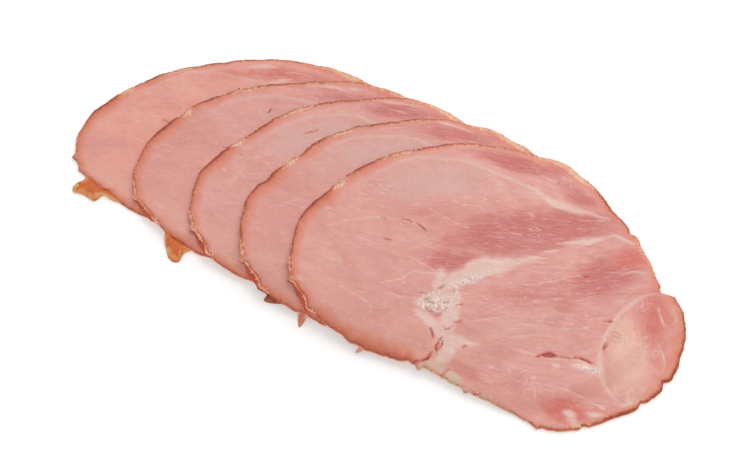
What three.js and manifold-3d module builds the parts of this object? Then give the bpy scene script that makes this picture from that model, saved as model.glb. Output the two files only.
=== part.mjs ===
// Five slices of smoked shoulder ham, shingled one over the next in a row, as they come out of a pack.
//
// Millimetres, +Z up. The row runs along +X: slice_1 lies lowest at the -X end, slice_5 lies on top at the +X end.
// The origin is on the surface that the ham lies on, under the middle of the row's bounding box.
// Every slice is a limp sheet of even thickness. It lies flat on the surface or on the slices below it, and
// sags over their edges, so slice_5 steps down from four layers high at its left edge to the surface at its tip.

import * as THREE from "three";
import { mergeVertices } from "three/addons/utils/BufferGeometryUtils.js";
import Module from "manifold-3d";

const wasm = await Module();
wasm.setup();

// ---- driving dimensions ----
const SLICE_LENGTH = 173; // slice_5 along X
const SLICE_WIDTH = 131; // slice_5 along Y
const SLICE_THICKNESS = 2.2;
const FLAP_THICKNESS = 1.3; // strips of rind that have come loose from the rim
const AIR_GAP = 0.3; // between a slice and the one it lies on
const LAYER = SLICE_THICKNESS + AIR_GAP;
const SAG_STARTS = 3; // a slice stays level this far past an edge below it
const SAG_LENGTH = 9; // and comes down by one layer over this length
const SAG_SPREAD = 0.25; // each slice between it and that edge makes the slope longer by this share
const CELL = 5.5; // pitch of the flat facets that the draped faces are made of
const RIM_POINTS = 96; // points round a slice's rim, before its crags
const RIM_ROUGHNESS = 0.45; // how far the sawn rim wanders in and out

// ---- the ham's cross-section ----
// A knife cut through the joint: a flat lower side, a tall rounded left lobe and a narrower right end with two
// dents where the muscles part. In shares of half the length and half the width, clockwise from the left tip.
const SECTION = [
  [-1.0, -0.42], [-0.975, -0.18], [-0.93, 0.07], [-0.83, 0.31], [-0.67, 0.54], [-0.44, 0.78], [-0.2, 0.95],
  [0.02, 1.0], [0.22, 0.945], [0.39, 0.815], [0.545, 0.71], [0.67, 0.55], [0.775, 0.43], [0.905, 0.345],
  [0.985, 0.12], [1.0, -0.13], [0.93, -0.42], [0.78, -0.69], [0.61, -0.855], [0.3, -0.9], [-0.05, -0.92],
  [-0.4, -0.995], [-0.7, -0.95], [-0.885, -0.77],
];

// Where each slice's middle lies, how far it is turned, and how much longer or wider than slice_5 it was cut:
// the joint tapers, so the slices grow wider from the first to the last.
const SLICES = [
  { name: "slice_1", x: -51.2, y: 2.1, turnDeg: 4, long: 1.165, wide: 0.905 },
  { name: "slice_2", x: -22, y: -0.3, turnDeg: 1.2, long: 1.06, wide: 0.95 },
  { name: "slice_3", x: 3.5, y: 1.2, turnDeg: 3.2, long: 0.975, wide: 0.966 },
  { name: "slice_4", x: 36.5, y: 1.4, turnDeg: 3.8, long: 1.03, wide: 0.991 },
  { name: "slice_5", x: 63, y: -1.1, turnDeg: 0, long: 1, wide: 1 },
];

// Crags and swells of the rim, as [share of the way round from the left tip, how far it stands out, half the
// length of rim that it takes]. A negative one is a dent.
const HEEL_TAB = [0.934, 2.2, 1.8]; // the crust's loose end, on every slice
const SHARED_CRAGS = [HEEL_TAB, [0.052, -0.8, 3], [0.905, 0.9, 2]];
const OWN_CRAGS = {
  slice_1: [[0.08, -2.6, 38], [0.14, -0.6, 3], [0.9, -2.2, 14], [0.948, 1.6, 14], [0.956, 2.6, 2]],
  slice_2: [[0.12, 0.7, 2], [0.9, -1, 8], [0.965, 0.8, 12]],
  slice_3: [[0.072, -3, 20], [0.1, 0.8, 1.6], [0.145, 1, 22]],
  slice_4: [[0.072, -2.4, 10], [0.135, 1.6, 20], [0.17, 0.6, 2]],
  slice_5: [
    [0.385, -1.6, 2.5], // dents where the muscles part
    [0.452, -2.2, 3],
    [0.462, 1.2, 2],
    [0.747, 1.4, 2.2], // ragged fat along the lower side
    [0.792, 1.8, 1.8],
    [0.803, -0.8, 2.5],
    [0.68, 1.6, 1.6],
    [0.64, -1.0, 2.5],
    [0.6, 0.9, 2],
  ],
};

// Loose strips of rind and set juices at each slice's lower edge: their outlines, in the row's own frame.
const FLAPS = {
  slice_1: [
    [-129, -51], [-127, -57.5], [-129, -61.5], [-127, -65.5], [-123.5, -65], [-119.5, -64.6], [-115.5, -64.6],
    [-113.5, -60.5], [-108, -60.3], [-102.5, -58.6], [-103, -53], [-116, -49],
  ],
  slice_2: [
    [-76, -57], [-75, -63.5], [-71.5, -67.5], [-67, -71.5], [-62, -71], [-62.2, -66], [-59.5, -62], [-60, -57],
    [-68, -55],
  ],
  slice_3: [
    [-24, -61], [-22.5, -64.6], [-18, -65], [-17.8, -67.6], [-13, -66.6], [-9, -64.4], [-9, -60], [-16, -59],
  ],
  slice_4: [[-5, -59], [-1.5, -65], [2.6, -70.2], [3.6, -65], [6, -60], [0, -57]],
  slice_5: [[27, -58], [30.4, -65], [30, -68.6], [33.4, -65.8], [36, -60], [32, -57]],
};

// Colours of the cut face, and of the ham's lighter and darker ends of the row.
const MEAT = [0xe2a294, 0xdd9c91, 0xdb9a90, 0xdc998d, 0xd98f84];
const MEAT_ROUGHNESS = 0.45;

// ---- shapes ----

// The section as a smooth closed curve at its real size.
function sectionCurve() {
  const points = SECTION.map(
    ([along, across]) => new THREE.Vector3((along * SLICE_LENGTH) / 2, (across * SLICE_WIDTH) / 2, 0),
  );
  return new THREE.CatmullRomCurve3(points, true, "centripetal");
}

// How far the rim stands out from the smooth section at share u of the way round, for slice number i.
function rimOffset(i, u, girth) {
  const waves = [[11, 0.5], [23, 0.3], [41, 0.2]];
  const wander = waves.reduce(
    (sum, [count, share]) => sum + share * Math.sin(2 * Math.PI * count * u + i * count), 0);
  const crags = cragsOf(i).reduce((sum, [at, out, half]) => {
    const away = Math.abs(((u - at + 1.5) % 1) - 0.5) * girth;
    return sum + out * Math.max(0, 1 - away / half);
  }, 0);
  return RIM_ROUGHNESS * wander + crags;
}

function cragsOf(i) {
  return [...SHARED_CRAGS, ...OWN_CRAGS[SLICES[i].name]];
}

// The rim of slice number i in the row's frame, as a closed ring of Vector2, clockwise.
function rimOf(i) {
  const { x, y, turnDeg, long, wide } = SLICES[i];
  const curve = sectionCurve();
  const girth = curve.getLength();
  const shares = Array.from({ length: RIM_POINTS }, (_, k) => k / RIM_POINTS);
  for (const [at, , half] of cragsOf(i)) shares.push(at - half / girth, at, at + half / girth);
  const centre = new THREE.Vector2();
  return shares
    .map((u) => (u + 1) % 1)
    .sort((a, b) => a - b)
    .map((u) => {
      const point = curve.getPointAt(u);
      const tangent = curve.getTangentAt(u);
      const out = rimOffset(i, u, girth);
      return new THREE.Vector2(point.x - out * tangent.y, point.y + out * tangent.x)
        .multiply(new THREE.Vector2(long, wide))
        .rotateAround(centre, THREE.MathUtils.degToRad(turnDeg))
        .add(new THREE.Vector2(x, y));
    });
}

// Distance from a point to a ring, 0 inside it.
function distanceOutside(ring, x, y) {
  let inside = false;
  let nearest = Infinity;
  ring.forEach((b, k) => {
    const a = ring[(k + ring.length - 1) % ring.length];
    if (a.y > y !== b.y > y && x < ((b.x - a.x) * (y - a.y)) / (b.y - a.y) + a.x) inside = !inside;
    const dx = b.x - a.x;
    const dy = b.y - a.y;
    const t = THREE.MathUtils.clamp(((x - a.x) * dx + (y - a.y) * dy) / (dx * dx + dy * dy), 0, 1);
    nearest = Math.min(nearest, Math.hypot(a.x + t * dx - x, a.y + t * dy - y));
  });
  return inside ? 0 : nearest;
}

// Height of the underside of slice number i: one layer for every slice below it, less the sag past its edge.
function underside(i, x, y) {
  return RIMS.slice(0, i).reduce((height, rim, below) => {
    const slope = SAG_LENGTH * (1 + SAG_SPREAD * (i - below - 1));
    const past = distanceOutside(rim, x, y) - SAG_STARTS;
    return height + LAYER * (1 - THREE.MathUtils.smoothstep(past, 0, slope));
  }, 0);
}

// ---- solids ----

// A closed geometry as a solid, once its shared vertices are merged.
function solidOf(geometry) {
  geometry.deleteAttribute("normal");
  geometry.deleteAttribute("uv");
  const merged = mergeVertices(geometry, 1e-4);
  return new wasm.Manifold(
    new wasm.Mesh({
      numProp: 3,
      vertProperties: new Float32Array(merged.attributes.position.array),
      triVerts: new Uint32Array(merged.index.array),
    }),
  );
}

// A plain upright block with the given outline, taller than the whole row.
function blockOf(ring) {
  const margin = 5;
  const depth = SLICES.length * LAYER + 2 * margin;
  const block = new THREE.ExtrudeGeometry(new THREE.Shape(ring), { depth, bevelEnabled: false });
  return solidOf(block.translate(0, 0, -margin));
}

// A draped sheet under the given outline: square cells, each split in two the same way on every slice, so that
// neighbouring sheets run parallel. The lowest slice lies flat, so one cell spans it.
function sheetOver(i, ring, thickness) {
  const bounds = new THREE.Box2().setFromPoints(ring);
  const pitch = i === 0 ? 2 * SLICE_LENGTH : CELL;
  const firstX = Math.floor(bounds.min.x / pitch) - 1;
  const firstY = Math.floor(bounds.min.y / pitch) - 1;
  const across = Math.ceil(bounds.max.x / pitch) + 1 - firstX;
  const deep = Math.ceil(bounds.max.y / pitch) + 1 - firstY;
  const row = across + 1;
  const layerSize = row * (deep + 1);
  const positions = [];
  for (const lift of [0, thickness])
    for (let b = 0; b <= deep; b++)
      for (let a = 0; a <= across; a++) {
        const x = (firstX + a) * pitch;
        const y = (firstY + b) * pitch;
        positions.push(x, y, underside(i, x, y) + lift);
      }
  const faces = [];
  for (let b = 0; b < deep; b++)
    for (let a = 0; a < across; a++) {
      const k = b * row + a;
      const up = k + layerSize;
      faces.push(k, k + row, k + row + 1, k, k + row + 1, k + 1);
      faces.push(up, up + row + 1, up + row, up, up + 1, up + row + 1);
    }
  const wall = (p, q) => faces.push(p, q, q + layerSize, p, q + layerSize, p + layerSize);
  for (let a = 0; a < across; a++) {
    wall(a, a + 1);
    wall(deep * row + a + 1, deep * row + a);
  }
  for (let b = 0; b < deep; b++) {
    wall((b + 1) * row, b * row);
    wall(b * row + across, (b + 1) * row + across);
  }
  const sheet = new THREE.BufferGeometry();
  sheet.setAttribute("position", new THREE.Float32BufferAttribute(positions, 3));
  sheet.setIndex(faces);
  return solidOf(sheet);
}

// The part of a draped sheet that lies inside an outline.
function cutFromSheet(i, ring, thickness) {
  return blockOf(ring).intersect(sheetOver(i, ring, thickness));
}

// A flap's outline, smoothed.
function flapRing(points) {
  const curve = new THREE.CatmullRomCurve3(points.map(([x, y]) => new THREE.Vector3(x, y, 0)), true);
  return curve.getPoints(2 * points.length).slice(1).map((p) => new THREE.Vector2(p.x, p.y));
}

function geometryOf(solid) {
  const { vertProperties, triVerts } = solid.getMesh();
  const geometry = new THREE.BufferGeometry();
  geometry.setAttribute("position", new THREE.BufferAttribute(new Float32Array(vertProperties), 3));
  geometry.setIndex(new THREE.BufferAttribute(new Uint32Array(triVerts), 1));
  geometry.computeVertexNormals();
  return geometry;
}

function sliceMesh(slice, i) {
  const flap = cutFromSheet(i, flapRing(FLAPS[slice.name]), FLAP_THICKNESS);
  const whole = cutFromSheet(i, RIMS[i], SLICE_THICKNESS).add(flap);
  const material = new THREE.MeshStandardMaterial({ color: MEAT[i], roughness: MEAT_ROUGHNESS, metalness: 0 });
  const mesh = new THREE.Mesh(geometryOf(whole), material);
  mesh.name = slice.name;
  return mesh;
}

const RIMS = SLICES.map((_, i) => rimOf(i));

const ham = new THREE.Group();
SLICES.forEach((slice, i) => ham.add(sliceMesh(slice, i)));

const middle = new THREE.Box3().setFromObject(ham).getCenter(new THREE.Vector3());
ham.position.set(-middle.x, -middle.y, 0);

export default ham;
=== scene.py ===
"""Five shingled slices of smoked shoulder ham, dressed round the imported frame.

Lengths are millimetres until a mesh is written, where they become metres. A slice has two sets of coordinates. On
the section, x and y are measured on the knife cut itself, from its middle, with the left tip at -x. In the row they
are the frame's own.
"""

import logging
import math
from dataclasses import dataclass
from enum import Enum, IntEnum

import bpy
import numpy as np
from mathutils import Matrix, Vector


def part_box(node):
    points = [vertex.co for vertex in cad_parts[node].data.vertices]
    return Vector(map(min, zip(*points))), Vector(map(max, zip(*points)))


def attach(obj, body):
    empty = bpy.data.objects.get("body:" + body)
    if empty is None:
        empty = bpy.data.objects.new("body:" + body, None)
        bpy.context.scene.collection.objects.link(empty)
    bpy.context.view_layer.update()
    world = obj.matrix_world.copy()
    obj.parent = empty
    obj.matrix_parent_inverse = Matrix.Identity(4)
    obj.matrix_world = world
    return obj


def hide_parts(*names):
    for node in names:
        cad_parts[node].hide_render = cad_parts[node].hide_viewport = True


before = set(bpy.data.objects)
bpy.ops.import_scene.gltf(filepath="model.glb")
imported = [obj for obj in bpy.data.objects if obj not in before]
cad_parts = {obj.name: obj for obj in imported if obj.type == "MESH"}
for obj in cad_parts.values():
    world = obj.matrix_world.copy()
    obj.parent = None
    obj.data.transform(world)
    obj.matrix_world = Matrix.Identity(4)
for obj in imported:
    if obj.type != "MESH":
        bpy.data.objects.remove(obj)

log = logging.getLogger("ham")

MM = 0.001
BODY = "root"

# ---- the slices, as in the part's source ----
SLICE_LENGTH = 173.0
SLICE_WIDTH = 131.0
SLICE_THICKNESS = 2.2
FLAP_THICKNESS = 1.3
LAYER = 2.5
SAG_STARTS = 3.0
SAG_LENGTH = 9.0
SAG_SPREAD = 0.25
RIM_POINTS = 96
RIM_ROUGHNESS = 0.45
RIM_WAVES = ((11, 0.5), (23, 0.3), (41, 0.2))  # waves round the rim, and each one's share of the roughness

# The section's outline in shares of half the length and half the width, clockwise from the left tip.
SECTION = (
    (-1.0, -0.42), (-0.975, -0.18), (-0.93, 0.07), (-0.83, 0.31), (-0.67, 0.54), (-0.44, 0.78), (-0.2, 0.95),
    (0.02, 1.0), (0.22, 0.945), (0.39, 0.815), (0.545, 0.71), (0.67, 0.55), (0.775, 0.43), (0.905, 0.345),
    (0.985, 0.12), (1.0, -0.13), (0.93, -0.42), (0.78, -0.69), (0.61, -0.855), (0.3, -0.9), (-0.05, -0.92),
    (-0.4, -0.995), (-0.7, -0.95), (-0.885, -0.77),
)

# Crags and dents of the rim: share of the way round, how far it stands out, half the length of rim that it takes.
SHARED_CRAGS = ((0.934, 2.2, 1.8), (0.052, -0.8, 3), (0.905, 0.9, 2))

# ---- what only the dressed part has ----
UV_SPAN = 400.0  # mm that the whole UV square stands for
GIRTH = 490.0  # mm, about the way round a slice, for grains that run along its rim
GRAINY_SLICE = 4  # slice_5, whose widest fat shows
FAT_GRAINS = 200

# The lifted heel of the upper slices: shares of the way round, and how far its wall slants in and out of the rim.
HEEL_START = 0.94
HEEL_WIDEST = 0.916
HEEL_END = 0.893
HEEL_IN = 1.3  # mm, at the top
HEEL_OUT = 1.6  # mm, at the foot


class Seed(IntEnum):
    """First seeds of the random grains and draws, to which a slice's number is added."""

    CRUMB_SHAPE = 30
    STRAY_X = 40
    GRAIN_SHAPE = 50
    STRAY_Y = 60
    RIM_STAIN = 80
    SHAPE = 100  # times the slice's number from 1, with a grain's number added
    CRUMB_PLACE = 500
    GRAIN_PLACE = 600
    STRIP = 700
    TONGUE = 900  # with ten times the slice's number and a grain's number added


class Lie(Enum):
    """How a pattern lies on a slice: the name of the UV map that it reads."""

    FREE = "Section"
    FIBRE = "Fibre"
    SEAM = "Seam"


class Layer(Enum):
    """What a seam between the muscles is made of."""

    FAT = "fat"
    CREAM = "cream"
    TENDON = "tendon"
    SLIT = "slit"
    PIT = "pit"


SeamLine = tuple[tuple[float, float, float], ...]  # points of x, y and half width on the section


@dataclass(frozen=True)
class Seam:
    """A line across the section, and what it is made of."""

    layer: Layer
    points: SeamLine


@dataclass(frozen=True)
class Patch:
    """A soft-edged oval of the section where a field is raised."""

    raises: str
    x: float
    y: float
    half_long: float
    half_wide: float
    turn_deg: float = 0.0
    strength: float = 1.0


# Where the muscles of the section part, and what lies between them.
UPPER_SEAM = ((-72, 4.5, -0.4), (-65.5, 18, -0.1), (-57, 28.5, 0), (-46.5, 34, 0.1), (-35.5, 38, 0.2),
              (-24, 39, 0.3), (-11.5, 42.5, 0.5), (-1, 42.5, 1.1), (7, 42, 2.1), (13, 43.5, 1.8),
              (19, 44.5, 0.9), (25.5, 46, 0.3), (31.5, 47.5, 0.1))
ROUND_MUSCLE_ARC = ((67.5, 27, 0.1), (65, 23, 0.3), (61.5, 19, 0.7), (59, 14.5, 1.0), (57, 9, 0.9), (55.5, 4, 0.8),
                    (55, -2, 1.1), (55, -7.5, 1.1), (55.5, -12.5, 0.7), (56.5, -17.5, 1.1), (59, -22.5, 1.5),
                    (62, -26.5, 1.0), (65.5, -28.5, 0.9), (69.5, -30.5, 0.5), (73, -31, 0.3))


def swirl(x: float, y: float, inner: float, outer: float, turns: float, steps: int = 24) -> SeamLine:
    """Winds a fine furrow, a little wider than high, out from a point of the section.

    Args:
        x: place of its middle.
        y: place of its middle.
        inner: radius where it starts.
        outer: radius where it ends.
        turns: how many times it goes round.
        steps: number of its spans.

    Returns:
        Its points.
    """
    turned = [k / steps for k in range(steps + 1)]
    return tuple(
        (x + 1.15 * (inner + (outer - inner) * t) * math.cos(2 * math.pi * turns * t),
         y + (inner + (outer - inner) * t) * math.sin(2 * math.pi * turns * t), 0.16 - 0.12 * t) for t in turned)


SEAM_LINES: dict[Layer, tuple[SeamLine, ...]] = {
    Layer.FAT: (
        UPPER_SEAM,
        ((49, 43.5, 0.2), (45, 42, 0.6), (41, 41, 0.7), (38, 40.5, 0.6), (35, 38, 0.2)),
        ((34.5, 37.5, 0.3), (32, 35, 1.1), (28, 31, 1.5), (24, 26.5, 1.1), (21, 23.5, 0.2)),
        ((14, 10, 0.1), (11, 7, 0.6), (7.5, 3, 1.2)),
        ((13, 8, 0.3), (7, 2, 1.5), (3, -1.5, 2.9), (-1.5, -6, 4.0), (-5.5, -10, 4.5), (-8, -15, 4.0),
         (-11, -19.5, 3.2), (-13.5, -24, 2.5), (-15.5, -27, 1.5)),
        ((-19.5, -19, 0.4), (-17.5, -22, 1.8), (-17, -26.5, 2.0)),
        ((-20.5, -38, 0.8), (-17.5, -36.5, 2.8), (-15, -34, 4.2), (-12, -31.5, 4.6), (-9, -29.5, 3.4)),
        ((-10, -23, 1.2), (-7.5, -28.5, 2.6), (-6, -34.5, 3.2), (-5, -39.5, 3.4), (-4, -43, 2.9)),
        ((-19, -41, 0.5), (-15, -42, 1.8), (-11, -43, 2.3), (-7, -44, 2.7), (-4, -46, 2.4)),
        ((-3.5, -46, 2.2), (0, -45, 3.2), (4, -43.5, 2.4), (7, -42, 1.2), (10.5, -40, 0.2)),
        ((-2, -46, 2.9), (0.5, -49, 3.2), (1, -52.5, 2.4), (0, -55, 1.4)),
        ((48, -27.5, 0.1), (51.5, -26.5, 1.3), (55, -25.5, 1.9), (58.5, -24.5, 1.8)),
        ((74, -32.4, 1), (77.4, -28.2, 1.7), (79.8, -25, 0.9)),
        ((54.5, -46.5, 0.6), (57, -47, 1.6), (59.5, -48.5, 1.2), (61, -50, 0.8)),
        ((62, -42.5, 0.3), (65, -42, 0.9), (68.5, -41, 1.0), (72, -38.5, 0.8)),
    ),
    Layer.CREAM: (
        ((-9, -62.5, 0.5), (-5.5, -60.5, 1.6), (-2, -58.5, 2.4), (1.5, -57.5, 2.3), (3, -58.5, 1.6)),
        ((5.8, -59.5, 1.2), (7.2, -57.5, 2.2), (9.5, -58, 2.4), (12, -59.5, 1.4), (14, -60.5, 0.4)),
        ((17, -60.5, 0.6), (20, -59.5, 1.2), (23.5, -58.5, 1.6), (26, -58.5, 1.2), (28, -59.5, 0.4)),
    ),
    Layer.TENDON: (
        ((21, 25, 0.1), (18.5, 22.5, 0.6), (16.5, 21.5, 0.2)),
        ((20.5, 20, 0.2), (18, 17.5, 0.8), (14.5, 14.5, 0.2)),
        ((16.5, 12, 0.1), (13, 9.5, 0.7), (9, 7.5, 0.4)),
        ((57, -12.5, 0.1), (60.5, -12, 0.3), (65, -7, 0.2), (70, -1.5, 0.3)),
        ((62, -10, 0.1), (66, -5.5, 0.3), (68, -1.5, 0.1)),
        ROUND_MUSCLE_ARC,
        ((-77, -30, 0.15), (-71.5, -23, 0.3), (-66, -17, 0.35), (-59.5, -12, 0.35), (-52.5, -8, 0.3),
         (-47.5, -6, 0.25), (-42, -4.5, 0.25), (-33, -5.5, 0.1)),
        ((-42, 6, 0.1), (-34.5, 6, 0.25), (-25.5, 5.5, 0.25), (-18.5, 6, 0.1)),
        ((-40, -40, 0.1), (-36, -36, 0.4), (-31.5, -31.5, 0.4), (-29.5, -26.5, 0.5), (-24.5, -24, 0.4),
         (-18, -20.5, 0.5)),
        ((-35, -20.5, 0.15), (-29, -20.5, 0.3), (-20, -21, 0.5)),
        ((-52.5, -48, 0.1), (-46.5, -48.5, 0.2), (-39.5, -48.5, 0.25), (-36, -50, 0.25), (-35.5, -55, 0.1)),
        ((-34.5, -41, 0.15), (-28, -39, 0.25), (-20, -35.5, 0.5)),
        ((24.5, -33.5, 0.2), (27.5, -32.5, 0.5), (31, -31.5, 0.5), (35, -30.5, 0.5), (43, -27.5, 0.3), (49, -24, 0.5),
         (54, -23.5, 0.8)),
        ((18.5, -25, 0.2), (21.5, -22.5, 0.5), (24.5, -21, 0.4), (29, -18.5, 0.3), (33.5, -16, 0.3), (37.5, -14, 0.3),
         (41, -12, 0.2)),
        ((20.5, -30.5, 0.2), (24.5, -27, 0.3), (28.5, -22.5, 0.2)),
        ((29, -11, 0.2), (28, -16.5, 0.3), (25, -20.5, 0.2)),
        ((42.5, -12, 0.2), (45.5, -9, 0.4), (48.5, -5, 0.2)),
        ((17, -14, 0.15), (23.5, -8, 0.3), (30.5, -2.5, 0.4), (38, 2.5, 0.35), (42, 6.5, 0.4), (45, 10.5, 0.2)),
        ((9, -23, 0.2), (12, -18, 0.4), (15, -15.5, 0.2)),
        ((19, -1, 0.15), (26.5, 6, 0.3), (33, 13, 0.15)),
        ((3, -33.5, 0.15), (9.5, -27.5, 0.25), (16, -21.5, 0.15)),
        ((48, 23, 0.15), (52, 27, 0.4), (57, 30, 0.2)),
        ((74, 21, 0.3), (77, 18.5, 0.9), (79, 12.5, 0.3)),
        ((68, 18, 0.2), (71, 14.5, 0.6), (75.5, 10.5, 0.2)),
        ((75.5, 2, 0.2), (79.5, -2.5, 0.4), (82, -7, 0.5), (81.5, -11, 0.2)),
        ((39.5, -42, 0.1), (45, -39.5, 0.3), (51, -38.5, 0.4), (57, -37.5, 0.3), (62.5, -37, 0.5), (67.5, -37, 0.8)),
        ((35, -42.5, 0.3), (35.5, -45.5, 0.2), (37, -49, 0.1)),
        ((39.5, -44, 0.2), (40.5, -46.5, 0.2), (42, -49.5, 0.1)),
        ((42, -31, 1.1), (43, -30.5, 1.1)),
        ((36.5, -41, 0.5), (37.5, -40, 0.6)),
    ),
    Layer.SLIT: (
        ((-55.5, -9.5, 0.15), (-54, -9, 0.25), (-52.5, -9, 0.1)),
        ((-47, -5.5, 0.1), (-44.5, -4.5, 0.25), (-42, -4.5, 0.2)),
        ((-39.5, -4, 0.15), (-36.5, -4.5, 0.35), (-34, -5.5, 0.15)),
        ((-50, -18.5, 0.1), (-47.5, -18, 0.25), (-45, -17, 0.1)),
        ((33, -31.5, 0.15), (34.5, -31, 0.45), (35, -30.5, 0.2)),
        ((34.5, -30, 0.2), (36.8, -28.7, 1.1), (38.5, -27.6, 1.25), (41, -27, 0.35), (43.5, -26, 0.25),
         (46.5, -25, 0.2)),
        ((46.5, -25, 0.2), (49, -23, 0.35), (52, -22.5, 0.5), (55, -22.5, 0.3)),
        ((51, -2, 0.15), (52.5, -1, 0.25), (54, 0, 0.6)),
        ((56.5, -10.5, 0.4), (56.5, -12.5, 0.6), (56.5, -14.5, 0.3)),
        ((-10, -45, 0.3), (-8, -46.5, 0.55), (-7, -48, 0.3)),
        ((-4, -46, 0.3), (-4, -48.5, 0.4), (-4, -50.5, 0.55), (-2.5, -52, 0.3)),
        ((-2.8, -46.8, 0.2), (-2.2, -48.6, 0.4), (-2.6, -50.6, 0.2)),
        ((5.5, -45, 0.3), (6.5, -43.5, 0.4)),
        ((-2.5, -37.5, 0.1), (-1, -36.5, 0.25), (0, -35, 0.1)),
        ((-5.5, -30, 0.1), (-4, -28.5, 0.2), (-3.5, -28, 0.1)),
        ((-5.5, -41.5, 0.2), (-4, -42, 0.25), (-3, -41, 0.15), (-2.5, -39.5, 0.1)),
        ((-4.5, -53.5, 0.4), (-4.5, -56, 0.6), (-6, -58, 0.5), (-9.5, -60.5, 0.4)),
        ((34.5, 13.5, 0.2), (36, 14.5, 0.4), (37, 15.5, 0.15)),
        ((4.2, -60.5, 0.05), (4.4, -58, 0.2), (5.3, -55.2, 0.05)),
        ((18.4, -59.5, 0.1), (20.5, -58.7, 0.3), (22, -57.8, 0.1)),
    ),
    Layer.PIT: (
        swirl(58.8, -6.7, 0.7, 3.3, 1.7),
        ((-16.5, -38, 0.3), (-14.5, -38, 0.8), (-13, -38, 0.4)),
        ((-12, -36, 0.3), (-11.5, -35, 0.6), (-11.5, -34, 0.3)),
        ((-16, -27.5, 0.2), (-15, -26.5, 0.5), (-14.5, -25, 0.3)),
        ((-11.5, -39, 0.3), (-10.5, -38.5, 0.5), (-9.5, -37, 0.2)),
        ((-17, -35.5, 0.2), (-15.5, -34.5, 0.4), (-14, -34, 0.2)),
        ((-18.5, -35.5, 0.2), (-17.5, -34, 0.4), (-17, -33.5, 0.2)),
        ((-11, -32, 0.2), (-9.5, -30.5, 0.4)),
        ((-8.5, -35, 0.2), (-8.5, -33, 0.3)),
        ((-10, -25.5, 0.2), (-9.5, -24.5, 0.3)),
        ((-21.5, -33.5, 0.2), (-19, -32, 0.2)),
    ),
}
SEAMS = tuple(Seam(layer, line) for layer, lines in SEAM_LINES.items() for line in lines)

# Soft areas of the section: darker muscles, paler muscles that also carry a painted sheen, warm fat, and how
# streaky the cut fibres look. Each oval has a patch's numbers in their order.
PATCH_OVALS: dict[str, tuple[tuple[float, ...], ...]] = {
    "red": (
        (6, 22, 46, 12, 43), (-16, -12, 15, 7, 30, 0.8), (-32, 4, 18, 7, 10, 0.35), (-18, 51.5, 22, 5.5, 20),
        (14, 52, 14, 5, -8, 0.8), (42, 18, 19, 10, 60, 0.95), (48, 34, 9, 6, 40, 0.3), (34, -48, 16, 8, 10, 0.35),
        (12, -53, 9, 4, 10, 0.6), (25, -4, 32, 13, 38, 0.45), (-30, -20, 14, 6, 30, 0.25),
    ),
    "flush": (
        (49, 33, 9, 7, 40, 0.9), (69, 11, 10, 15, 20, 0.7), (80, 0, 6, 15, 0, 0.5), (56, -46, 11, 6, 20),
        (66, -41, 9, 4, 0, 0.5), (2, 61, 16, 4, -8, 0.45), (44, 44, 9, 4, 35, 0.5),
    ),
    # The pale muscle: partly its own paler tone, partly a painted sheen that stands for the reflection of the light
    # from behind.
    "pale": (
        (-44, 21, 32, 13, 37, 0.9), (-14, 34, 20, 4, 15, 0.5), (-40, -32, 24, 17, 20, 0.35),
        (22, -22, 24, 10, 35, 0.35),
    ),
    "peach": (
        (66, -8, 9, 17, 22), (72, -20, 8, 9, 20, 0.45),
    ),
    "warm": (
        (-58, -54, 17, 8, -10, 0.55), (-30, -62, 30, 6, -4, 0.6),
    ),
    "curd": (
        (55, -25.5, 6, 2.5, 10, 0.8), (-14, -34, 9, 5.5, 31), (-6.5, -18, 10, 3, 55, 0.9),
    ),
    "streak": (
        (20, 5, 58, 34, 35), (-10, 50, 42, 12, 15, 0.9), (30, -40, 40, 16, 15, 0.7),
    ),
}
PATCHES = tuple(Patch(name, *oval) for name, ovals in PATCH_OVALS.items() for oval in ovals)


@dataclass(frozen=True)
class RimStation:
    """How the rim is browned at one share of the way round, in mm in from the rim."""

    at: float
    crust: float  # width of the dark line
    blush: float  # reach of the orange stain
    stain: float  # strength of that stain
    gold: float  # width of the yellow fat


RIM_STATIONS = tuple(RimStation(*numbers) for numbers in (
    (0.000, 1.10, 8.0, 0.95, 0.0), (0.022, 2.10, 10.0, 1.05, -1.0), (0.040, 1.90, 10.0, 1.05, -0.6),
    (0.053, 0.70, 6.5, 0.70, 3.8), (0.066, 1.30, 8.0, 0.90, 0.2), (0.085, 2.00, 8.5, 1.05, -0.4),
    (0.105, 1.60, 7.5, 0.95, 1.6), (0.125, 1.20, 6.5, 0.80, 2.6), (0.144, 1.70, 5.5, 0.90, 1.0),
    (0.195, 1.40, 4.5, 0.80, 0.9), (0.245, 1.00, 5.5, 0.85, 0.6), (0.285, 0.60, 7.5, 0.90, 3.0),
    (0.318, 0.90, 9.5, 0.90, 4.6), (0.343, 2.20, 8.0, 1.00, 0.6), (0.366, 1.60, 7.0, 0.95, -0.5),
    (0.404, 0.80, 5.5, 0.80, 1.4), (0.440, 0.50, 5.0, 0.75, 1.0), (0.470, 1.00, 6.0, 0.85, -0.2),
    (0.492, 1.20, 7.0, 0.90, -0.8), (0.525, 1.20, 7.0, 0.90, -0.8), (0.555, 1.30, 6.5, 1.00, -0.5),
    (0.584, 0.80, 4.5, 0.70, 1.6), (0.606, 1.20, 4.5, 1.00, -0.5), (0.630, 0.90, 3.5, 0.80, 0.2),
    (0.652, 0.50, 2.5, 0.60, 1.6), (0.670, 0.50, 2.5, 0.55, -0.4), (0.703, 0.20, 2.0, 0.40, -0.4),
    (0.739, 0.00, 1.5, 0.30, -0.4), (0.773, 0.00, 1.5, 0.30, -0.4), (0.790, 0.20, 3.0, 0.45, 0.0),
    (0.804, 0.70, 7.5, 0.95, -1.0), (0.820, 0.50, 8.5, 0.90, -1.0), (0.847, 0.50, 8.5, 0.88, -1.0),
    (0.882, 0.40, 7.0, 0.84, -1.0), (0.908, -0.30, 6.0, 0.76, -0.4), (0.932, -0.30, 5.5, 0.74, -0.2),
    (0.965, 0.60, 6.0, 0.90, 0.3),
))


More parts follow.
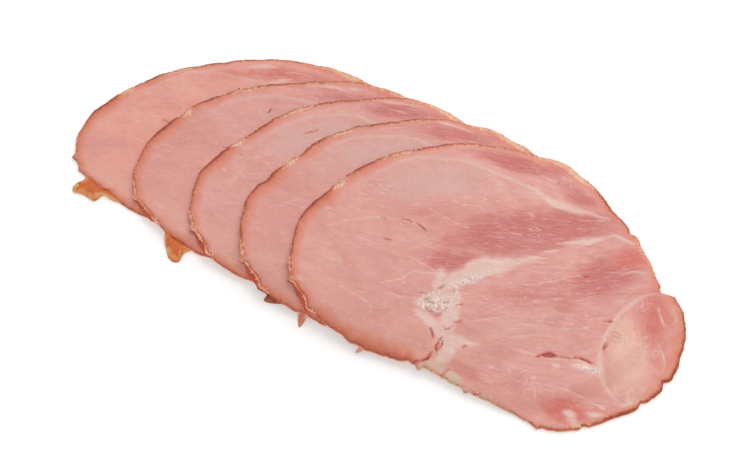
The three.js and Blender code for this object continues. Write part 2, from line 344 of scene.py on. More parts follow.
@dataclass(frozen=True)
class Slice:
    """Where one slice lies in the row, and what is its own on the shared section."""

    name: str
    x: float
    y: float
    turn_deg: float
    long: float
    wide: float
    crags: tuple[tuple[float, float, float], ...]
    lean: str  # colour of its lean meat
    wander: float  # how far its seams stray from slice_5's
    marks: float  # how clearly its sinews show, up to 1
    browned: float  # how far its orange stain reaches along the lower rim, up to 1
    sheen: float  # how pale its pale muscle is, with the painted sheen over it, up to 1
    own_seams: tuple[Seam, ...] = ()
    own_patches: tuple[Patch, ...] = ()

    def spin(self) -> np.ndarray:
        """Returns the matrix that turns rows of x and y from the section to the row."""
        turn = math.radians(self.turn_deg)
        return np.array([[math.cos(turn), math.sin(turn)], [-math.sin(turn), math.cos(turn)]])


# The slices lie as in the part's source. Some crags of slice_1 and slice_5 are only here, where the photo's rim asks
# for more than the solids have.
SLICES = (
    Slice("slice_1", -51.2, 2.1, 4, 1.165, 0.905,
          ((0.08, -2.6, 38), (0.14, -0.6, 3), (0.9, -2.2, 14), (0.948, 1.6, 14), (0.95, 1.2, 2.6), (0.934, -1.7, 1.8),
           (0.973, 1.1, 6), (0.003, -1.3, 9), (0.215, 0.8, 22)),
          "#e4a092", 2.2, 0.1, 0.8, 0.1,
          (Seam(Layer.TENDON, ((-42, 43.5, 0.2), (-38.5, 46, 1.2), (-33, 48.5, 1.5), (-27, 51, 0.4))),
           Seam(Layer.TENDON, ((-31, 35.5, 0.2), (-26, 40, 1.1), (-21, 44.5, 1.5), (-17, 48, 0.5))),
           Seam(Layer.TENDON, ((-24, 49, 0.2), (-17, 53, 0.8), (-10, 55.5, 0.2)))),
          (Patch("flush", -44, 36, 15, 4, 42, 0.5), Patch("flush", -24, 47, 16, 5, 24, 0.5))),
    Slice("slice_2", -22, -0.3, 1.2, 1.06, 0.95,
          ((0.12, 0.7, 2), (0.9, -1, 8), (0.965, 0.8, 12)), "#dd9c92", 1.8, 0.3, 0.7, 0.5,
          (Seam(Layer.SLIT, ((-48.5, 20.5, 0.2), (-48.5, 22.5, 0.6), (-48.2, 24, 0.3))),
           Seam(Layer.TENDON, ((-43, 45.5, 0.2), (-36, 49.5, 1.0), (-29, 53, 1.3), (-22, 55, 0.3))),
           Seam(Layer.TENDON, ((-24.5, 56.5, 0.5), (-22.5, 57.5, 1.5), (-20, 58.5, 0.5))),
           Seam(Layer.TENDON, ((-16, 53, 0.2), (-8, 56, 0.9), (0, 58, 0.2))))),
    Slice("slice_3", 3.5, 1.2, 3.2, 0.975, 0.966,
          ((0.072, -3, 20), (0.1, 0.8, 1.6), (0.145, 1, 22)), "#dd9f95", 1.4, 0.6, 0.7, 1.0,
          (Seam(Layer.SLIT, ((-55, 18, 0.15), (-53, 19.5, 0.4), (-50, 23, 0.15))),
           Seam(Layer.TENDON, ((-42, 48.5, 0.3), (-36, 51, 1.3), (-29, 53.5, 1.5), (-20, 56, 1.0), (-11, 58.5, 0.3))),
           Seam(Layer.TENDON, ((-27, 49, 0.1), (-18, 51.5, 0.5), (-6, 53.5, 0.1))))),
    Slice("slice_4", 36.5, 1.4, 3.8, 1.03, 0.991,
          ((0.072, -2.4, 10), (0.135, 1.6, 20), (0.17, 0.6, 2)), "#d9998f", 1.2, 0.6, 0.75, 0.9,
          (Seam(Layer.TENDON, ((-38, 50, 0.2), (-30, 52.5, 1.0), (-20, 55.5, 1.2), (-12, 57.5, 0.3))),)),
    Slice("slice_5", 63, -1.1, 0, 1, 1,
          ((0.385, -1.6, 2.5), (0.452, -2.2, 3), (0.462, 1.2, 2), (0.747, 1.4, 2.2), (0.792, 1.8, 1.8),
           (0.803, -0.8, 2.5), (0.68, 1.0, 1.6), (0.64, -1.0, 2.5), (0.5843, -1.3, 2.4), (0.5544, -1.9, 3.2)),
          "#db9c91", 0.0, 1.0, 1.0, 0.85),
)


# ---- small tools ----


def linear(code: str) -> tuple[float, float, float, float]:
    """Turns an sRGB hex colour to linear light.

    Args:
        code: "#rrggbb".

    Returns:
        Red, green, blue and an alpha of 1.
    """
    shares = [int(code[i : i + 2], 16) / 255 for i in (1, 3, 5)]
    r, g, b = (s / 12.92 if s <= 0.04045 else ((s + 0.055) / 1.055) ** 2.4 for s in shares)
    return r, g, b, 1.0


def smooth(value: np.ndarray, low: float, high: float) -> np.ndarray:
    """Returns 0 below low, 1 above high and a smooth step between."""
    t = np.clip((value - low) / (high - low), 0, 1)
    return t * t * (3 - 2 * t)


def stretch(share: np.ndarray, start: float, full: float, fading: float, end: float) -> np.ndarray:
    """Returns 1 on a stretch of the rim from full to fading, and 0 before its start and past its end."""
    return smooth(share, start, full) * smooth(-share, -end, -fading)


def new_material(name: str) -> bpy.types.Material:
    """Starts a material.

    Args:
        name: its name.

    Returns:
        The material, with an empty tree.
    """
    material = bpy.data.materials.new(name)
    material.use_nodes = True
    material.node_tree.nodes.clear()
    return material


def add_node(tree: bpy.types.NodeTree, kind: str, settings: dict | None = None,
             inputs: dict | None = None) -> bpy.types.Node:
    """Adds a node with its settings and its inputs.

    Args:
        tree: the tree that it goes into.
        kind: Blender's name for the node.
        settings: properties of the node itself.
        inputs: value, or socket to link, for each input's name or number.

    Returns:
        The node.
    """
    node = tree.nodes.new(kind)
    for name, value in (settings or {}).items():
        setattr(node, name, value)
    for key, value in (inputs or {}).items():
        if isinstance(value, bpy.types.NodeSocket):
            tree.links.new(value, node.inputs[key])
        else:
            node.inputs[key].default_value = value
    return node


class Grain:
    """Smooth random heights from -1 to 1, on a lattice of seeded values."""

    SIZE = 256

    def __init__(self, seed: int) -> None:
        """Draws the lattice's values.

        Args:
            seed: what they are drawn with.
        """
        self.values = np.random.default_rng(seed).uniform(-1, 1, (self.SIZE, self.SIZE))

    def at(self, x: np.ndarray, y: np.ndarray, pitch: float, along: float = 1.0) -> np.ndarray:
        """Reads the heights.

        Args:
            x: places along the grain, mm.
            y: places across it, mm.
            pitch: the lattice's spacing, mm.
            along: how much longer the spacing is along x.

        Returns:
            One height for each place.
        """
        u, v = x / (pitch * along), y / pitch
        i, j = np.floor(u).astype(int), np.floor(v).astype(int)
        f, g = smooth(u - i, 0, 1), smooth(v - j, 0, 1)
        near, far = self.values[i % self.SIZE], self.values[(i + 1) % self.SIZE]
        rows = np.arange(len(x))
        a, b = near[rows, j % self.SIZE], near[rows, (j + 1) % self.SIZE]
        c, d = far[rows, j % self.SIZE], far[rows, (j + 1) % self.SIZE]
        return (a * (1 - g) + b * g) * (1 - f) + (c * (1 - g) + d * g) * f


def line_field(points: np.ndarray, x: np.ndarray, y: np.ndarray, reach: float
               ) -> tuple[np.ndarray, np.ndarray, np.ndarray]:
    """Measures each place against a line of changing width.

    Args:
        points: rows of x, y and half width.
        x: places.
        y: places.
        reach: places further away than this are left out.

    Returns:
        How far inside the line each place lies, how far along it, and how far to its left.
    """
    inside, along, aside = (np.full(len(x), value) for value in (-reach, 0.0, 0.0))
    low, high = points[:, :2].min(0) - reach, points[:, :2].max(0) + reach
    near = np.flatnonzero((x > low[0]) & (x < high[0]) & (y > low[1]) & (y < high[1]))
    px, py = x[near], y[near]
    run = 0.0
    for (ax, ay, aw), (bx, by, bw) in zip(points[:-1], points[1:]):
        dx, dy = bx - ax, by - ay
        length = math.hypot(dx, dy)
        t = np.clip(((px - ax) * dx + (py - ay) * dy) / length**2, 0, 1)
        depth = aw + t * (bw - aw) - np.hypot(ax + t * dx - px, ay + t * dy - py)
        best = depth > inside[near]
        chosen = near[best]
        inside[chosen] = depth[best]
        along[chosen] = run + t[best] * length
        aside[chosen] = ((py[best] - ay) * dx - (px[best] - ax) * dy) / length
        run += length
    return inside, along, aside


def distance_outside(ring: np.ndarray, x: np.ndarray, y: np.ndarray) -> np.ndarray:
    """Measures each place against a closed ring.

    Args:
        ring: rows of x and y, all the way round.
        x: places.
        y: places.

    Returns:
        Each place's distance to the ring, 0 inside it.
    """
    inside = np.zeros(len(x), bool)
    nearest = np.full(len(x), np.inf)
    for (ax, ay), (bx, by) in zip(np.roll(ring, 1, 0), ring):
        if ay != by:
            inside ^= ((ay > y) != (by > y)) & (x < (bx - ax) * (y - ay) / (by - ay) + ax)
        dx, dy = bx - ax, by - ay
        t = np.clip(((x - ax) * dx + (y - ay) * dy) / (dx * dx + dy * dy), 0, 1)
        nearest = np.minimum(nearest, np.hypot(ax + t * dx - x, ay + t * dy - y))
    return np.where(inside, 0, nearest)


def catmull_rom(points: np.ndarray, closed: bool, at: np.ndarray) -> np.ndarray:
    """Reads a centripetal Catmull-Rom curve.

    Args:
        points: control points, any number of columns; the first two set its speed.
        closed: whether the last point leads back to the first.
        at: places along it, from 0 to the number of its spans.

    Returns:
        A row for each place.
    """
    count = len(points)
    if not closed:
        points = np.vstack([2 * points[0] - points[1], points, 2 * points[-1] - points[-2]])
        at = np.clip(at, 0, count - 1 - 1e-9) + 1  # just short of the last point, which has no span of its own
        count += 2
    i = np.floor(at).astype(int)
    w = (at - i)[:, None]
    p0, p1, p2, p3 = (points[(i + k) % count] for k in (-1, 0, 1, 2))
    d0, d1, d2 = (np.maximum(np.hypot(*(b - a)[:, :2].T) ** 0.5, 1e-6)[:, None]
                  for a, b in ((p0, p1), (p1, p2), (p2, p3)))
    t1 = ((p1 - p0) / d0 - (p2 - p0) / (d0 + d1) + (p2 - p1) / d1) * d1
    t2 = ((p2 - p1) / d1 - (p3 - p1) / (d1 + d2) + (p3 - p2) / d2) * d1
    return p1 + t1 * w + (3 * (p2 - p1) - 2 * t1 - t2) * w**2 + (2 * (p1 - p2) + t1 + t2) * w**3


def write_mesh(name: str, points: np.ndarray, faces: list, material: bpy.types.Material) -> bpy.types.Object:
    """Writes a smooth mesh object at the origin.

    Args:
        name: the object's name.
        points: its vertices in mm.
        faces: vertex numbers of each face.
        material: its finish.

    Returns:
        The object, linked into the scene.
    """
    mesh = bpy.data.meshes.new(name)
    mesh.from_pydata((points * MM).tolist(), [], faces)
    mesh.polygons.foreach_set("use_smooth", np.ones(len(mesh.polygons), bool))
    mesh.materials.append(material)
    piece = bpy.data.objects.new(name, mesh)
    bpy.context.scene.collection.objects.link(piece)
    return piece


def ring_faces(rings: int, around: int) -> list:
    """Lists the faces of a closed skin: rings of points from one pole to the other, then the two poles.

    Args:
        rings: number of rings, the first round the upper pole.
        around: points in each ring, clockwise seen from above.

    Returns:
        Quads between the rings and triangles at the poles, all pointing out.
    """
    k = np.arange(around)
    n = (k + 1) % around
    start = np.arange(rings - 1)[:, None] * around
    quads = np.stack([start + k, start + n, start + around + n, start + around + k], -1).reshape(-1, 4)
    top, bottom, last = rings * around, rings * around + 1, (rings - 1) * around
    return (quads.tolist() + [[top, int(b), int(a)] for a, b in zip(k, n)]
            + [[bottom, last + int(a), last + int(b)] for a, b in zip(k, n)])


# ---- the slices' shape ----


class Section:
    """The knife cut through the joint, as a closed curve measured along its length."""

    SAMPLES = 4000
    TANGENT_STEP = 1e-4  # share of the way round

    def __init__(self) -> None:
        """Measures the curve's length."""
        self.points = np.array(SECTION) * (SLICE_LENGTH / 2, SLICE_WIDTH / 2)
        self.steps = np.linspace(0, len(self.points), self.SAMPLES + 1)
        path = catmull_rom(self.points, True, self.steps)
        self.lengths = np.concatenate([[0], np.cumsum(np.hypot(*np.diff(path, axis=0).T))])
        self.girth = self.lengths[-1]

    def point(self, share: np.ndarray) -> np.ndarray:
        """Returns the point at each share of the way round."""
        return catmull_rom(self.points, True, np.interp(share % 1 * self.girth, self.lengths, self.steps))

    def outward(self, share: np.ndarray) -> np.ndarray:
        """Works out which way is out.

        Args:
            share: shares of the way round.

        Returns:
            The direction that points out of the section at each of them.
        """
        along = self.point(share + self.TANGENT_STEP) - self.point(share - self.TANGENT_STEP)
        along /= np.hypot(*along.T)[:, None]
        return np.stack([-along[:, 1], along[:, 0]], 1)

    def offset(self, index: int, share: np.ndarray) -> np.ndarray:
        """Works out how far the rim of a slice stands out from the smooth section.

        Args:
            index: the slice's number, from 0.
            share: shares of the way round.

        Returns:
            A distance for each of them, negative for in.
        """
        crags = SHARED_CRAGS + SLICES[index].crags
        wander = sum(part * np.sin(2 * np.pi * count * share + index * count) for count, part in RIM_WAVES)
        away = [np.abs((share - at + 1.5) % 1 - 0.5) * self.girth for at, _, _ in crags]
        return RIM_ROUGHNESS * wander + sum(out * np.maximum(0, 1 - a / half)
                                            for a, (_, out, half) in zip(away, crags))


class Row:
    """The five slices as they lie: their rims, and how each one sags over those below it."""

    BARE_FROM = (0.5, 5)  # mm outside an upper slice's rim where a face starts to be bare, and where it wholly is

    def __init__(self) -> None:
        """Works out the rims and where the frame's origin lies in the row."""
        self.section = Section()
        self.middle = np.zeros(2)
        self.rims = [self.rim(i) for i in range(len(SLICES))]
        upper_right = np.array(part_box("slice_5")[1])[:2] / MM
        self.middle = upper_right - self.rims[-1].max(0)
        self.rims = [rim + self.middle for rim in self.rims]

    def place(self, index: int, points: np.ndarray) -> np.ndarray:
        """Lays points of the section down where that slice lies."""
        own = SLICES[index]
        return points * (own.long, own.wide) @ own.spin() + (own.x, own.y) + self.middle

    def on_section(self, index: int, points: np.ndarray) -> np.ndarray:
        """Takes points of the row back to the section of that slice."""
        own = SLICES[index]
        return (points - self.middle - (own.x, own.y)) @ own.spin().T / (own.long, own.wide)

    def rim(self, index: int) -> np.ndarray:
        """Works out a slice's rim with its crags, but without its fine raggedness.

        Args:
            index: the slice's number, from 0.

        Returns:
            Its points in the row, all the way round.
        """
        shares = [k / RIM_POINTS for k in range(RIM_POINTS)]
        for at, _, half in SHARED_CRAGS + SLICES[index].crags:
            shares += [at - half / self.section.girth, at, at + half / self.section.girth]
        share = np.unique(np.array(shares) % 1)
        out = self.section.offset(index, share)[:, None] * self.section.outward(share)
        return self.place(index, self.section.point(share) + out)

    def underside(self, index: int, x: np.ndarray, y: np.ndarray) -> np.ndarray:
        """Works out how high a slice's underside lies.

        Args:
            index: the slice's number, from 0.
            x: places in the row.
            y: places in the row.

        Returns:
            A height for each place: a layer for each slice below it, with a soft slope past that one's rim.
        """
        height = np.zeros(len(x))
        for below, rim in enumerate(self.rims[:index]):
            slope = SAG_LENGTH * (1 + SAG_SPREAD * (index - below - 1))
            height += LAYER * (1 - smooth(distance_outside(rim, x, y) - SAG_STARTS, 0, slope))
        return height

    def bareness(self, index: int, x: np.ndarray, y: np.ndarray) -> np.ndarray:
        """Works out where nothing lies on a slice.

        Args:
            index: the slice's number, from 0.
            x: places in the row.
            y: places in the row.

        Returns:
            1 on its bare part, and 0 under another slice.
        """
        bare = np.ones(len(x))
        for rim in self.rims[index + 1 :]:
            bare = np.minimum(bare, smooth(distance_outside(rim, x, y), *self.BARE_FROM))
        return bare


class Fields:
    """What the cut face shows at each place of the section, as numbers that the finish turns to colour."""

    REACH = 12.0  # mm from a seam where its field is still told apart
    SPAN_SAMPLES = 6
    PATCH_FIELDS = ("red", "flush", "pale", "peach", "warm", "curd", "streak")
    STRAY_PITCH = 19.0  # mm over which a slice's seams wander from slice_5's
    FAINT_SINEW = 0.45  # mm by which the least marked slice's sinews are thinner
    LEAST_RED = 0.46  # how red its red muscles are
    # How far inside a seam, in mm, its share of the colour starts and is full.
    FAT_EDGE, CURD_EDGE, CREAM_EDGE = (-0.9, 1.2), (-0.8, 0.6), (-0.4, 0.6)

    # How steeply the fibres rise along x, in the muscles above the upper seam and in the rest.
    TOP_RISE = ((-90, 1.0), (-55, 0.6), (-30, 0.42), (-5, 0.3), (20, 0.02), (45, -0.3), (90, -0.6))
    MAIN_RISE = ((-100, 0.15), (-60, 0.28), (-40, 0.35), (-10, 0.45), (10, 0.66), (45, 0.66), (75, 0.5), (100, 0.4))
    TOP_LEVEL_AT, MAIN_LEVEL_AT = 0, 60  # where on x a fibre's height is read
    TOP_MUSCLE_END = 42  # mm along x, where the upper seam has run out
    HALF_SPAN = 110  # mm along x that the rises are summed over, past both tips
    FIBRE_STRETCH = 1.12  # how much longer a slanting fibre is than its reach along x
    FLATTER_BELOW = 0.5  # how much flatter the fibres are at the bottom
    FLATTER_FROM = (15, 60)  # mm below the middle where that starts and is full
    ROUND_ALONG, ROUND_ACROSS = 2.5, 0.3  # how the round muscle's fibres slant: steeply, and to the left

    # Stretches of the rim in shares of the way round: where each starts, is full, fades and ends.
    UPPER_LEFT = (0.05, 0.075, 0.22, 0.27)
    HEEL = (0.875, 0.895, 0.945, 0.975)
    RIGHT_END = (0.675, 0.70, 0.785, 0.802)
    LOWER_LEFT = (0.79, 0.93)
    FADED = 0.35  # how much fainter the stain is at the upper left of the least marked slice
    LEAST_STAIN = 0.3  # how strong it is at the lower left of the least browned one
    STAIN_FALL = 1.3  # power by which it fades inwards
    STAIN_WANDER, STAIN_PITCH = 0.006, 14  # how far round its stations stray, and over how many mm
    GOLD_EDGE = (-0.5, 0.7)
    WALL_FROM = (0.05, 0.5)  # mm down the wall where its colour starts and is full

    def __init__(self, own: Slice, x: np.ndarray, y: np.ndarray) -> None:
        """Works out the fields that follow the muscles.

        Args:
            own: the slice.
            x: places on the section.
            y: places on the section.
        """
        self.x, self.y = x, y
        seam_x, seam_y = (place + own.wander * Grain(first + SLICES.index(own)).at(x, y, self.STRAY_PITCH)
                          for place, first in ((x, Seed.STRAY_X), (y, Seed.STRAY_Y)))
        self.values = {}
        self.seam_along, self.seam_aside = np.zeros(len(x)), np.zeros(len(x))
        for layer in Layer:
            self.values[layer.value] = self.seams(layer, own, seam_x, seam_y)
        self.values["tendon"] -= self.FAINT_SINEW * (1 - own.marks)
        for name in self.PATCH_FIELDS:
            self.values[name] = self.patches(name, PATCHES + own.own_patches, seam_x, seam_y)
        self.values["pale"] *= own.sheen
        self.values["red"] *= self.LEAST_RED + (1 - self.LEAST_RED) * own.marks
        self.values["fat_share"] = smooth(self.values["fat"], *self.FAT_EDGE)
        self.values["curd"] *= smooth(self.values["fat"], *self.CURD_EDGE)
        self.values["cream_share"] = smooth(self.values["cream"], *self.CREAM_EDGE)
        self.values["lean_share"] = 1 - np.maximum(self.values["fat_share"], self.values["cream_share"])
        self.lay_fibres(seam_x, seam_y)

    def seams(self, layer: Layer, own: Slice, x: np.ndarray, y: np.ndarray) -> np.ndarray:
        """Measures all seams of one layer.

        Args:
            layer: the layer.
            own: the slice.
            x: places on the section.
            y: places on the section.

        Returns:
            How far inside the nearest seam each place lies.
        """
        best = np.full(len(x), -self.REACH)
        for seam in SEAMS + own.own_seams:
            if seam.layer is layer:
                spans = np.linspace(0, len(seam.points) - 1, (len(seam.points) - 1) * self.SPAN_SAMPLES + 1)
                line = catmull_rom(np.array(seam.points, float), False, spans)
                inside, along, aside = line_field(line, x, y, self.REACH)
                if layer is Layer.FAT:
                    nearer = inside > best
                    self.seam_along[nearer], self.seam_aside[nearer] = along[nearer], aside[nearer]
                best = np.maximum(best, inside)
        return best

    def lay_fibres(self, x: np.ndarray, y: np.ndarray) -> None:
        """Works out how far along and across the fibres each place lies, muscle by muscle.

        Args:
            x: places on the section.
            y: places on the section.
        """
        steps = np.linspace(-self.HALF_SPAN, self.HALF_SPAN, 2 * self.HALF_SPAN + 1)
        bends = []
        for rise, level_at in ((self.TOP_RISE, self.TOP_LEVEL_AT), (self.MAIN_RISE, self.MAIN_LEVEL_AT)):
            slope = np.interp(steps, *zip(*rise))
            bend = np.concatenate([[0], np.cumsum((slope[1:] + slope[:-1]) / 2 * np.diff(steps))])
            bends.append(np.interp(x, steps, bend) - np.interp(level_at, steps, bend))
        top_bend, main_bend = bends
        self.along = self.FIBRE_STRETCH * x
        self.across = y - (1 - self.FLATTER_BELOW * smooth(-y, *self.FLATTER_FROM)) * main_bend
        seam = np.array(UPPER_SEAM)
        above = (y > np.interp(x, seam[:, 0], seam[:, 1])) & (x > seam[0, 0]) & (x < self.TOP_MUSCLE_END)
        self.across = np.where(above, y - top_bend, self.across)
        arc = np.array(ROUND_MUSCLE_ARC)[::-1]
        in_round = (x > np.interp(y, arc[:, 1], arc[:, 0])) & (y > arc[0, 1]) & (y < arc[-1, 1])
        self.along = np.where(in_round, self.ROUND_ALONG * y - x, self.along)
        self.across = np.where(in_round, x + self.ROUND_ACROSS * y, self.across)

    @staticmethod
    def patches(name: str, every: tuple[Patch, ...], x: np.ndarray, y: np.ndarray) -> np.ndarray:
        """Works out the field that the patches of one name make.

        Args:
            name: the field.
            every: patches of all names.
            x: places on the section.
            y: places on the section.

        Returns:
            A value for each place, up to the strength of the strongest patch there.
        """
        value = np.zeros(len(x))
        for patch in every:
            if patch.raises == name:
                c, s = math.cos(math.radians(patch.turn_deg)), math.sin(math.radians(patch.turn_deg))
                a = ((x - patch.x) * c + (y - patch.y) * s) / patch.half_long
                b = ((y - patch.y) * c - (x - patch.x) * s) / patch.half_wide
                value = np.maximum(value, patch.strength * np.exp(-((a * a + b * b) ** 1.5)))
        return value

    def brown_rim(self, share: np.ndarray, edge: np.ndarray, own: Slice) -> None:
        """Adds the fields that follow the rim.

        Args:
            share: how far round each place is.
            edge: how far in from the rim it is, negative down the wall.
            own: the slice.
        """
        stations = (RIM_STATIONS[-1],) + RIM_STATIONS + (RIM_STATIONS[0],)
        at = np.array([s.at for s in stations])
        at[0] -= 1
        at[-1] += 1
        grain = Grain(Seed.RIM_STAIN + SLICES.index(own))
        share = share + self.STAIN_WANDER * grain.at(share * GIRTH, share, self.STAIN_PITCH)
        crust, blush, stain, gold = (np.interp(share, at, [getattr(s, name) for s in stations])
                                     for name in ("crust", "blush", "stain", "gold"))
        low = (share > self.LOWER_LEFT[0]) & (share < self.LOWER_LEFT[1])
        blush, crust = np.where(low, blush * own.browned, blush), np.where(low, crust * own.browned, crust)
        stain = np.where(low, stain * (self.LEAST_STAIN + (1 - self.LEAST_STAIN) * own.browned), stain)
        stain *= 1 - self.FADED * (1 - own.marks) * stretch(share, *self.UPPER_LEFT)
        inward = np.maximum(edge, 0)
        self.values["crust"] = crust - inward
        self.values["blush"] = stain * np.clip(1 - inward / blush, 0, 1) ** self.STAIN_FALL
        self.values["gold"] = gold - inward
        self.values["gold_share"] = smooth(gold - inward, *self.GOLD_EDGE)
        self.values["wall"] = smooth(-edge, *self.WALL_FROM)
        self.values["heel"] = self.values["wall"] * stretch(share, *self.HEEL)
        self.values["pale_wall"] = self.values["wall"] * stretch(share, *self.RIGHT_END)
        self.values["depth"] = np.minimum(edge, 0)


@dataclass(frozen=True)
class Wave:
    """A random unevenness of a slice's shape."""

    grain: int  # which of the slice's grains it reads
    height: float  # mm
    pitch: float  # mm
    along: float = 1.0  # how much longer it is along the fibres

    def at(self, grains: list[Grain], x: np.ndarray, y: np.ndarray, share: float | np.ndarray = 1.0) -> np.ndarray:
        """Returns its heights at places x and y, where only a share of it may show."""
        return self.height * share * grains[self.grain].at(x, y, self.pitch, self.along)


class SliceMesh:
    """The fine mesh of one slice: cut face, rounded crusty wall and underside."""

    AROUND = 700
    RIM_RINGS = 12
    RIM_RING_STEP = 0.42  # mm
    FACE_RINGS = 94
    CORE_SHARE = 0.012  # share of the way out where the innermost ring lies
    WALL_RINGS = 5
    UNDER_RINGS = 8
    UNDER_INSET = 0.35  # mm
    LEAST_DEPTH = 0.6  # share of the reach that counts as depth, where the rim runs slantwise to it

    # The rim's raggedness in plan, mm: lumps, small lumps, and a grain whose peaks are nicks and whose lows are tags.
    LUMPS, SMALL_LUMPS, NICKS = Wave(5, 0.28, 4.5), Wave(4, 0.16, 1.6), Wave(6, 1.0, 2.4)
    NICK_FROM, NICK_DEPTH = 0.62, 0.6
    TAG_FROM, TAG_LENGTH = 0.78, 1.3

    # The wall: how far it bulges, how far its top and foot are drawn in, and how far in a heel's slant reaches, mm.
    WALL_BULGE, WALL_INSET, SLANT_REACH = 0.32, 0.12, 2.5
    WALL_WAVE = Wave(5, 0.12, 1.4)
    WALL_WAVE_DOWN = 3  # mm of the grain from the wall's top to its foot

    # The relief of the cut face.
    SWELL, RIPPLE, FIBRES = Wave(0, 0.13, 17), Wave(1, 0.07, 6), Wave(2, 0.05, 1.5, 7)
    CURD, CRUST = Wave(3, 0.16, 1.5), Wave(4, 0.12, 1.3)
    PLAIN_FIBRES = 0.4  # how much the fibres stand up where the cut isn't streaky
    FAT_RISE, CRUST_RISE, SLIT_LIP = 0.08, 0.06, 0.07  # mm up
    SINEW_DIP, PIT_DIP, SLIT_DIP = 0.1, 0.45, 0.8  # mm down
    # How far inside its line, in mm, each of them starts and is full.
    SINEW_EDGE, PIT_EDGE, CRUST_EDGE = (-0.8, 0.2), (-0.5, 0.4), (-0.6, 0.3)
    SLIT_EDGE, LIP_EDGE = (-0.3, 0.6), (-1.6, -0.6)
    COVERED = 0.35  # share of the relief that is left under another slice

    # The rounded shoulder of the rim: how far it falls, and how wide it is at shares of the way round, mm.
    SHOULDER = 0.8
    ROUNDING = ((0, 0.9), (0.1, 0.9), (0.4, 0.8), (0.55, 1.3), (0.78, 1.0), (0.82, 1.9), (0.9, 1.9), (0.94, 1.0),
                (1, 0.9))

    # How a bare rim curls up off the slices below it, mm.
    CURL, LEAST_CURL, CURL_REACH = Wave(7, 0.4, 17), 0.12, 5
    LAID_ON_SLICES = (0.5, 2.5)  # heights of the underside where that starts and is full

    def __init__(self, row: Row, index: int) -> None:
        """Lays the rings of points.

        Args:
            row: the slices as they lie.
            index: the slice's number, from 0.
        """
        self.row, self.index, self.own = row, index, SLICES[index]
        self.grains = [Grain(Seed.SHAPE * (index + 1) + k) for k in range(8)]
        share = np.arange(self.AROUND) / self.AROUND
        self.outline = self.rim_place(share, 0)
        self.core = self.outline.mean(0)
        radial = self.outline - self.core
        self.reach = np.hypot(*radial.T)
        self.outward = row.section.outward(share) @ self.own.spin()
        self.depth_to_core = np.maximum((radial * self.outward).sum(1), self.LEAST_DEPTH * self.reach)
        self.share = share
        self.build_rings()
        self.fields = self.make_fields()
        self.raise_surface()

    def ragged(self, share: np.ndarray) -> np.ndarray:
        """Works out the fine raggedness of the rim.

        Args:
            share: shares of the way round.

        Returns:
            How far it stands out at each of them, mm.
        """
        along, across = share * self.row.section.girth, share * 0
        lumps, small_lumps, nicks = (wave.at(self.grains, along, across)
                                     for wave in (self.LUMPS, self.SMALL_LUMPS, self.NICKS))
        return (lumps + small_lumps - self.NICK_DEPTH * np.maximum(nicks - self.NICK_FROM, 0)
                + self.TAG_LENGTH * np.maximum(-nicks - self.TAG_FROM, 0))

    def heel_flare(self, share: np.ndarray) -> np.ndarray:
        """Returns how far the wall slants at each share of the way round, from 0 to 1: only on a lifted heel."""
        return stretch(share, HEEL_END, HEEL_WIDEST, HEEL_WIDEST, HEEL_START) * (self.index > 0)

    def build_rings(self) -> None:
        """Works out where each ring lies in plan, how deep in from the rim, and on which face."""
        rim_depths = self.RIM_RING_STEP * np.arange(self.RIM_RINGS)
        start = 1 - rim_depths[-1] / self.depth_to_core
        inner = [start + (self.CORE_SHARE - start) * t for t in np.linspace(0, 1, self.FACE_RINGS + 1)[1:]]
        rim = [1 - d / self.depth_to_core for d in rim_depths]
        top = (rim + inner)[::-1]
        under_t = np.linspace(0, 1, self.UNDER_RINGS)
        under = [(1 - self.UNDER_INSET / self.depth_to_core) * (1 - t) + self.CORE_SHARE * t for t in under_t]
        wall_t = (np.arange(self.WALL_RINGS) + 1) / (self.WALL_RINGS + 1)
        self.rings = len(top) + self.WALL_RINGS + len(under)
        shares = np.array(top + [np.ones(self.AROUND)] * self.WALL_RINGS + under)
        self.level = np.concatenate([np.zeros(len(top)), wall_t, np.ones(len(under))])
        bulge = self.WALL_BULGE * np.sin(np.pi * self.level) - self.WALL_INSET
        bulge[: len(top) - 1] = 0
        bulge[len(top) + self.WALL_RINGS + 1 :] = 0
        plan = self.core + shares[..., None] * (self.outline - self.core)
        slant = (self.level * (HEEL_IN + HEEL_OUT) - HEEL_IN)[:, None] * self.heel_flare(self.share)
        flared = slant * np.exp(-((1 - shares) * self.depth_to_core / self.SLANT_REACH) ** 2)
        plan += (bulge[:, None] + flared)[..., None] * self.outward
        self.plan = np.concatenate([plan.reshape(-1, 2), self.core[None], self.core[None]])
        edge = (1 - shares) * self.depth_to_core
        edge[len(top) : len(top) + self.WALL_RINGS] = -SLICE_THICKNESS * wall_t[:, None]
        self.edge = np.concatenate([edge.ravel(), [self.reach.mean()] * 2])
        self.around = np.concatenate([np.tile(self.share, self.rings), [0, 0]])
        self.level = np.concatenate([np.repeat(self.level, self.AROUND), [0, 1]])

    def make_fields(self) -> Fields:
        """Works out what every point of the skin shows.

        Returns:
            The fields.
        """
        on_section = self.row.on_section(self.index, self.plan)
        fields = Fields(self.own, on_section[:, 0], on_section[:, 1])
        fields.brown_rim(self.around, self.edge, self.own)
        return fields

